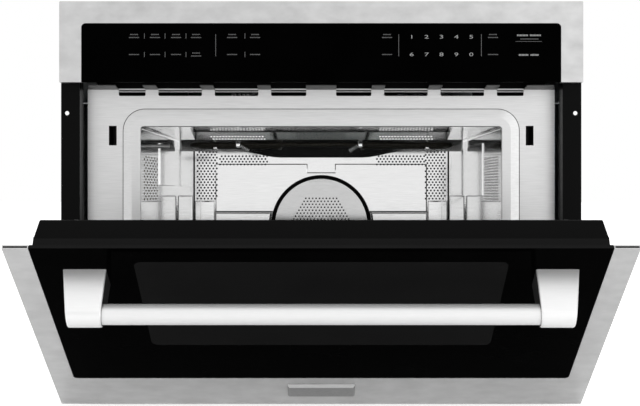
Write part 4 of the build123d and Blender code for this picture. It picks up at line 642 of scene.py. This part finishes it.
class SPEEDOVEN_OT_rear_liner(bpy.types.Operator):
    """Presses the rear liner's pad and cove, and perforates its borders"""

    bl_idname = "speedoven.rear_liner"
    bl_label = "Rear Liner"

    def execute(self, context):
        lap, ring_radius = 185.7, 73.2
        liner = block("rear_liner_pressed", (-211.5, LINER_FACE, 73.5), (211.5, 173, 320.5))
        cove = block("cove", (-206.5, 167.5, 293.5), (206.5, 172.5, 319.5))
        for x in range(-190, 191, 10):
            split(cove, (x * MM, 0, 0), (1, 0, 0))
        shift_corners(cove, (0, 4.5, 0), lambda place: place.y < 168 and place.z < 294)
        # The cove's lower edge climbs smoothly by 9 mm on both sides of the middle
        for corner in cove.data.vertices:
            if corner.co.z < 0.294:
                side = min(max((abs(corner.co.x) / MM - 60) / 60, 0), 1)
                corner.co.z += 9 * MM * side * side * (3 - 2 * side)
        pad = leaning_pad((-154.5, 213.6), (154.5, 284.5), block("notch", (-20, 160, 272), (20, 180, 300)))
        ring_gap = rod("ring_gap", (0, LINER_FACE, FAN_HEIGHT), 75, 20, "Y", 64)
        skirt = leaning_pad((-154.5, 180), (154.5, 213), ring_gap)
        combined(liner, "UNION", pad, skirt)
        feet = ((-184.5, 28.8, 230.5), (155.7, 28.8, 230.5), (-209.3, 22, 238), (187.3, 22, 238))
        for left, width, top in feet:
            combined(liner, "UNION", leaning_pad((left, 180), (left + width, top)))
        combined(liner, "DIFFERENCE",
                 rod("ring_seat", (0, 169, FAN_HEIGHT), ring_radius, 6, "Y", 96),
                 rod("fan_opening", (0, LINER_FACE, FAN_HEIGHT), 60, 12, "Y", 96))
        for side in (-1, 1):
            border = (side * 166.6 - 14, LINER_FACE, 233.5)
            top = (side * 114.7 - 33.2, LINER_FACE, 283.5)
            combined(liner, "DIFFERENCE",
                     block("lap", (side * lap - 1.2, 170, 76), (side * lap + 1.2, 172.9, 303)),
                     block("crease", (side * 176 - 0.2, 170, 76), (side * 176 + 0.2, 172.5, 292)),
                     punches(border, (5.1, 0, 0), (0, 0, 4), (6, 9), 1.5, 14, "Y"),
                     punches(top, (5.1, 0, 0), (0, 0, 4), (14, 2), 1.5, 14, "Y"))
        for side in (-1, 1):
            leg = rod("leg_hole", (side * 60, 170, 308), 3.6, 20, "Y")
            combined(cove, "DIFFERENCE", copied(leg, "cove_hole", Matrix()))
            combined(liner, "DIFFERENCE", leg)
        fit(joined(liner, cove), "cavity_steel", "oven", "rear_liner")
        # The floors of the laps are painted black as shade in the joints, and the wall of the ring's seat is
        # painted black like the ring
        paint_faces(liner, "black_enamel", lambda centre, normal: (
            abs(abs(centre.x) - lap) < 1.3 and centre.y > LINER_FACE + 0.1) or (
            abs(math.hypot(centre.x, centre.z - FAN_HEIGHT) - ring_radius) < 0.2
            and centre.y < LINER_FACE))
        return {"FINISHED"}


class SPEEDOVEN_OT_fan_cover(bpy.types.Operator):
    """Domes the perforated fan cover inside its ring"""

    bl_idname = "speedoven.fan_cover"
    bl_label = "Fan Cover"

    def execute(self, context):
        radius, rise, rim, hole_step = 67.3, 3.5, 171.2, 5
        bend = (radius * radius + rise * rise) / (2 * rise)
        bpy.ops.object.select_all(action="DESELECT")
        bpy.ops.mesh.primitive_uv_sphere_add(
            segments=72, ring_count=180, radius=bend * MM, rotation=(math.pi / 2, 0, 0),
            location=Vector((0, rim - rise + bend, FAN_HEIGHT)) * MM)
        cover = started("fan_cover")
        split(cover, (0, rim * MM, 0), (0, 1, 0), clear_outer=True)
        applied(cover, "SOLIDIFY", thickness=0.8 * MM, offset=-1)
        for row in range(-9, 10):
            count = 19 - abs(row)
            first = (-hole_step / 2 * (count - 1), 168, FAN_HEIGHT + row * 4.33)
            holes = rod("holes", first, 1.3, 14, "Y", 8)
            repeat(holes, (hole_step, 0, 0), count)
            combined(cover, "DIFFERENCE", holes)
        # The cover's finish is the cavity's sheet, darker as painted shade
        fit(cover, "cover_steel", "oven", "fan_grille")
        return {"FINISHED"}


class SPEEDOVEN_OT_ceiling_baffle(bpy.types.Operator):
    """Adds the shallow slotted baffle across the cavity's ceiling"""

    bl_idname = "speedoven.ceiling_baffle"
    bl_label = "Ceiling Baffle"

    def execute(self, context):
        # Its front and rear faces slope in to a narrow lower edge
        baffle = block("ceiling_baffle", (-165, -92, 311.5), (165, -20, 319.4))
        shift_corners(baffle, (0, 43, 0), lambda place: place.y < -91 and place.z < 312)
        shift_corners(baffle, (0, -26, 0), lambda place: place.y > -21 and place.z < 312)
        break_edges(baffle, 0.8)
        for first in (-142, 76):
            slots = block("slots", (first - 1.1, -76, 300), (first + 1.1, -64, 318.4))
            repeat(slots, (3.9, 0, 0), 18)
            rear = copied(slots, "rear_slots", Matrix.Translation((1.95 * MM, 15 * MM, 0)))
            combined(baffle, "DIFFERENCE", joined(slots, rear))
        fit(baffle, "cavity_steel", "oven")
        return {"FINISHED"}


class SPEEDOVEN_OT_grill_clips(bpy.types.Operator):
    """Hangs the grill tube from four clips with coiled spring tails"""

    bl_idname = "speedoven.grill_clips"
    bl_label = "Grill Clips"

    def execute(self, context):
        low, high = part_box("grill_clips")
        front, rear = low.y / MM + 6.5, high.y / MM - 6
        turns, pitch, drop = 6, 1.9, 1.2
        parts = []
        # The two front clips have a tail, which goes towards the middle
        for x, y, tail in ((-113, front, 1), (53, front, -1), (-151.5, rear, 0), (151.5, rear, 0)):
            saddle = block("saddle", (x - 3.6, y - 5, 303.6), (x + 3.6, y + 5, 313.5))
            break_edges(saddle, 2, segments=3)
            parts += [saddle, rod("stem", (x, y, 316), 1.1, 7, "Z", 16)]
            for turn in range(turns if tail else 0):
                place = Vector((x + tail * (4.5 + pitch * turn), y - 6.5, 305.5 - drop * turn)) * MM
                bpy.ops.object.select_all(action="DESELECT")
                bpy.ops.mesh.primitive_torus_add(
                    location=place, rotation=(0, tail * math.radians(122), 0), major_radius=2.1 * MM,
                    minor_radius=0.75 * MM, major_segments=20, minor_segments=8)
                parts.append(started("coil"))
        clips = joined(*parts)
        clips.name = "grill_clip_springs"
        fit(clips, "cavity_steel", "oven", "grill_clips")
        return {"FINISHED"}


def rounded_sheet(name, low, high, radius, face):
    """A sheet with round corners that faces the front, from its outside corners."""
    place = Vector(((low[0] + high[0]) / 2, face, (low[1] + high[1]) / 2)) * MM
    bpy.ops.object.select_all(action="DESELECT")
    bpy.ops.mesh.primitive_plane_add(size=1, location=place, rotation=(math.pi / 2, 0, 0))
    bpy.context.object.scale = ((high[0] - low[0]) * MM, (high[1] - low[1]) * MM, 1)
    sheet = started(name)
    bpy.ops.object.mode_set(mode="EDIT")
    bpy.ops.mesh.select_all(action="SELECT")
    bpy.ops.mesh.bevel(offset=radius * MM, segments=12, affect="VERTICES")
    bpy.ops.object.mode_set(mode="OBJECT")
    return sheet


def rounded_frame(name, low, high, radius, width, face, depth):
    """A thin frame with round corners that faces the front, from its outside corners."""
    frame_piece = rounded_sheet(name, low, high, radius, face)
    bpy.ops.object.mode_set(mode="EDIT")
    bpy.ops.mesh.select_all(action="SELECT")
    bpy.ops.mesh.inset(thickness=width * MM)
    bpy.ops.mesh.delete(type="FACE")
    bpy.ops.object.mode_set(mode="OBJECT")
    applied(frame_piece, "SOLIDIFY", thickness=depth * MM, offset=0)
    return frame_piece


class SPEEDOVEN_OT_front_plate(bpy.types.Operator):
    """Rounds the front plate's pressed frame and its sheared edges"""

    bl_idname = "speedoven.front_plate"
    bl_label = "Front Plate"

    def execute(self, context):
        plate = take_node("front_plate")
        break_edges(plate, 0.35, angle=25)
        crease = rounded_frame("crease", (-231.7, 53.3), (231.7, 340.7), 26, 0.9, -242.4, 1.2)
        combined(plate, "DIFFERENCE", crease)
        fit(plate, "plate_steel", "oven", "front_plate", smooth=5)
        # Painted shade on the ledge over the vent slots and on the crease's floor
        paint_faces(plate, "shaded_plate", lambda centre, normal: centre.y < -246 or (
            -242.2 < centre.y < -241.7 and normal.y < -0.9 and centre.z > 53))
        lip = block("duct_lip", (-258, -240.9, 360), (258, -238.6, 361.1))
        break_edges(lip, 0.3)
        fit(lip, "plate_steel", "oven")
        # A black seal behind the duct, dark as painted shade, keeps light from showing through the vent slots
        front, rear = -238.4, -234.4
        shade_seal = joined(block("duct_shade_seal", (-262, front, 364.8), (262, rear, 378)),
                      block("shade_seal_end", (-262, front, 350), (-246, rear, 364.7)),
                      block("shade_seal_end", (246, front, 350), (262, rear, 364.7)))
        break_edges(shade_seal, 0.8)
        fit(shade_seal, "black_enamel", "oven")
        return {"FINISHED"}


class SPEEDOVEN_OT_door_trim(bpy.types.Operator):
    """Folds the door's steel trim over its black carrier"""

    bl_idname = "speedoven.door_trim"
    bl_label = "Door Trim"

    def execute(self, context):
        def on_top(centre, normal):
            return normal.dot(door_up) > 0.98 and centre.z > 150

        trim = take_node("door_trim")
        break_edges(trim, 0.3)
        fit(trim, "door_steel", "door", "door_trim")
        pick_faces(trim, on_top)
        bpy.ops.mesh.inset(thickness=0.7 * MM, depth=-0.4 * MM)
        bpy.ops.object.mode_set(mode="OBJECT")
        paint_faces(trim, "door_moulding", on_top)
        return {"FINISHED"}


class SPEEDOVEN_OT_glasses(bpy.types.Operator):
    """Polishes the edges of the black glasses"""

    bl_idname = "speedoven.glasses"
    bl_label = "Glasses"

    def execute(self, context):
        glass_face = -11.3
        for node, body in (("control_glass", "oven"), ("door_glass", "door")):
            glass = take_node(node)
            break_edges(glass, context.scene.oven_sizes.glass_edge / MM, segments=3)
            fit(glass, "black_glass", body, node)
            # The door glass's upper edge is painted lighter as a highlight
            if node == "door_glass":
                paint_faces(glass, "glass_edge", lambda centre, normal: normal.dot(door_up) > 0.5)
        window = rounded_sheet("door_window", (-178, 142), (178, 321), 8, glass_face)
        applied(window, "SOLIDIFY", thickness=0.08 * MM, offset=0)
        window.data.transform(door_place)
        fit(window, "window_tint", "door")
        return {"FINISHED"}


class SPEEDOVEN_OT_plain_sheets(bpy.types.Operator):
    """Breaks the edges of the sheet and moulded parts that keep their shape"""

    bl_idname = "speedoven.plain_sheets"
    bl_label = "Plain Sheets"

    def execute(self, context):
        sheets = {
            "handle_post_left": ("handle_steel", 0.0), "handle_post_right": ("handle_steel", 0.0),
            "handle_bar": ("bar_steel", 0.0),
            "control_trim": ("brushed_trim", 0.5), "nameplate": ("badge_steel", 0.3),
            "flange_left": ("black_enamel", 0.3), "flange_right": ("black_enamel", 0.3),
            "base_pan": ("galvanised_steel", 0.3), "door_frame": ("door_moulding", 0.6),
        }
        # Parts of some pieces that have a finish of their own; the nameplate's upper face is a painted
        # highlight and the posts' inner faces are painted shade
        carrier_depth = 7.6 * MM
        painted = {
            "door_frame": ("door_carrier", lambda centre, normal: normal.dot(door_up) > 0.9 and (
                door_place.inverted() @ (centre * MM)).y < carrier_depth),
            # The nameplate's upper face is painted with the brighter bar steel as a highlight
            "nameplate": ("bar_steel", lambda centre, normal: normal.dot(door_up) > 0.4),
            # The posts' inner faces are painted darker as shade
            "handle_post_left": ("shaded_plate", lambda centre, normal: normal.x > 0.9),
            "handle_post_right": ("shaded_plate", lambda centre, normal: normal.x < -0.9),
        }
        for node, (finish, width) in sheets.items():
            piece = take_node(node)
            if node == "door_frame":
                split(piece, door_place @ Vector((0, carrier_depth, 0)), door_turn @ Vector((0, 1, 0)))
            if width:
                break_edges(piece, width)
            fit(piece, finish, nodes[node]["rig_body"], node)
            if node in painted:
                paint_faces(piece, *painted[node])
        return {"FINISHED"}


class SPEEDOVEN_OT_casing(bpy.types.Operator):
    """Presses stiffening beads into the casing's cover and rear panel"""

    bl_idname = "speedoven.casing"
    bl_label = "Casing"

    def execute(self, context):
        depth, front, rear = 0.6, -200, 215
        low, high = (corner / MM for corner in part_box("outer_cover"))
        cover = take_node("outer_cover")
        for side in (low.x, high.x):
            bead = block("side_bead", (side - depth, front, 96), (side + depth, rear, 108))
            repeat(bead, (0, 0, 96), 3)
            break_edges(bead, 0.4)
            combined(cover, "DIFFERENCE", bead)
        bead = block("top_bead", (-166, front, high.z - depth), (-154, rear, high.z + depth))
        repeat(bead, (160, 0, 0), 3)
        break_edges(bead, 0.4)
        combined(cover, "DIFFERENCE", bead)
        break_edges(cover, 0.25)
        fit(cover, "galvanised_steel", "oven", "outer_cover")
        panel = take_node("rear_panel")
        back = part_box("rear_panel")[1].y / MM
        for outline in (((-225, 45), (225, 325)), ((-205, 65), (205, 305))):
            combined(panel, "DIFFERENCE", rounded_frame("rear_bead", *outline, 18, 3, back, 1.0))
        break_edges(panel, 0.2)
        fit(panel, "galvanised_steel", "oven", "rear_panel")
        return {"FINISHED"}


def stroke(name, place, width, tall, face):
    """A flat printed stroke about a place on the glass (along, up), in millimetres."""
    x, z = place
    return block(name, (x - width / 2, face - PRINT_DEPTH, z - tall / 2), (x + width / 2, face, z + tall / 2))


def dashes(x, height, count, width, tall, face):
    """A key's bare mark: a row of short upright dashes about a place on the glass, in millimetres."""
    step = width * 1.45
    row_width = (count - 1) * step + width
    dash = stroke("dashes", (x - row_width / 2 + width / 2, height), width, tall, face)
    repeat(dash, (step, 0, 0), count)
    return dash


class SPEEDOVEN_OT_keypad(bpy.types.Operator):
    """Prints the keypad's numbers and bare key marks on the control glass"""

    bl_idname = "speedoven.keypad"
    bl_label = "Keypad"

    def execute(self, context):
        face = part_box("control_glass")[0].y / MM
        marks = []
        for row, keys in ((419.4, "12345"), (399.4, "67890")):
            for column, key in enumerate(keys):
                bpy.ops.object.select_all(action="DESELECT")
                bpy.ops.object.text_add()
                digit = bpy.context.object
                digit.data.body = key
                digit.data.size = 5.8 * MM
                digit.data.align_x, digit.data.align_y = "CENTER", "CENTER"
                digit.data.resolution_u = 3
                digit.data.extrude = PRINT_DEPTH * MM
                only(digit)
                bpy.ops.object.convert(target="MESH")
                digit = bpy.context.object
                digit.scale.x = 1.8
                digit.rotation_euler.x = math.pi / 2
                digit.location = Vector((102.7 + 16.9 * column, face, row)) * MM
                marks.append(started(f"digit_{key}"))
        for x, height, count in ((228.5, 421.3, 8), (243.1, 421.3, 8), (229.7, 399, 7), (242.1, 399, 6)):
            marks.append(dashes(x, height, count, 1.1, 1.9, face))
        digits = joined(*marks)
        digits.name = "keypad_digits"
        fit(digits, "key_print", "oven")
        upper_row, lower_row, line_step = 420.5, 399.5, 3.4
        bars = [stroke("divider", (x, 410), 0.6, 25, face) for x in (-119.8, 88.0, 181.8)]
        for x in (-200.7, -177.3, -153.5, -86.6):
            bars += [stroke("divider", (x, row), 0.6, 6, face) for row in (upper_row, lower_row)]
        # Every key has two lines in the upper row, and one or two in the lower
        for x, lower_lines in ((-212.5, 1), (-188.7, 1), (-164.8, 1), (-142.1, 2),
                               (-101.2, 1), (-75.1, 1), (74.7, 1), (195, 1)):
            for row, lines in ((upper_row, 2), (lower_row, lower_lines)):
                for line in range(lines):
                    height = row + line_step / 2 * (lines - 1) - line_step * line
                    bars.append(dashes(x, height, 7 + 2 * ((line + lines) % 2), 0.9, 1.1, face))
        bars.append(dashes(236.2, 417.1, 16, 0.9, 1.0, face))
        bars.append(stroke("underline", (235.5, 414.3), 29.8, 0.4, face))
        bars = joined(*bars)
        bars.name = "keypad_marks"
        fit(bars, "key_print_dim", "oven")
        return {"FINISHED"}


class SPEEDOVEN_PT_pieces(bpy.types.Panel):
    """Lists the oven's operators"""

    bl_label = "Speed Oven"
    bl_space_type = "VIEW_3D"
    bl_region_type = "UI"
    bl_category = "Speed Oven"

    def draw(self, context):
        for operator in OPERATORS:
            self.layout.operator(operator.bl_idname)
        for group in (context.scene.oven_sizes, context.scene.oven_colours):
            for name in group.__annotations__:
                self.layout.prop(group, name)


OPERATORS = (
    SPEEDOVEN_OT_stage,
    SPEEDOVEN_OT_finishes,
    SPEEDOVEN_OT_cavity,
    SPEEDOVEN_OT_rear_liner,
    SPEEDOVEN_OT_fan_cover,
    SPEEDOVEN_OT_ceiling_baffle,
    SPEEDOVEN_OT_grill_clips,
    SPEEDOVEN_OT_front_plate,
    SPEEDOVEN_OT_door_trim,
    SPEEDOVEN_OT_glasses,
    SPEEDOVEN_OT_plain_sheets,
    SPEEDOVEN_OT_casing,
    SPEEDOVEN_OT_keypad,
)
CLASSES = (OvenSizes, OvenColours, *OPERATORS, SPEEDOVEN_PT_pieces)


def register():
    for cls in CLASSES:
        bpy.utils.register_class(cls)
    bpy.types.Scene.oven_sizes = bpy.props.PointerProperty(type=OvenSizes)
    bpy.types.Scene.oven_colours = bpy.props.PointerProperty(type=OvenColours)


def unregister():
    del bpy.types.Scene.oven_colours
    del bpy.types.Scene.oven_sizes
    for cls in reversed(CLASSES):
        bpy.utils.unregister_class(cls)


def main():
    register()
    for operator in OPERATORS:
        group, name = operator.bl_idname.split(".")
        getattr(getattr(bpy.ops, group), name)()


if __name__ == "__main__":
    main()
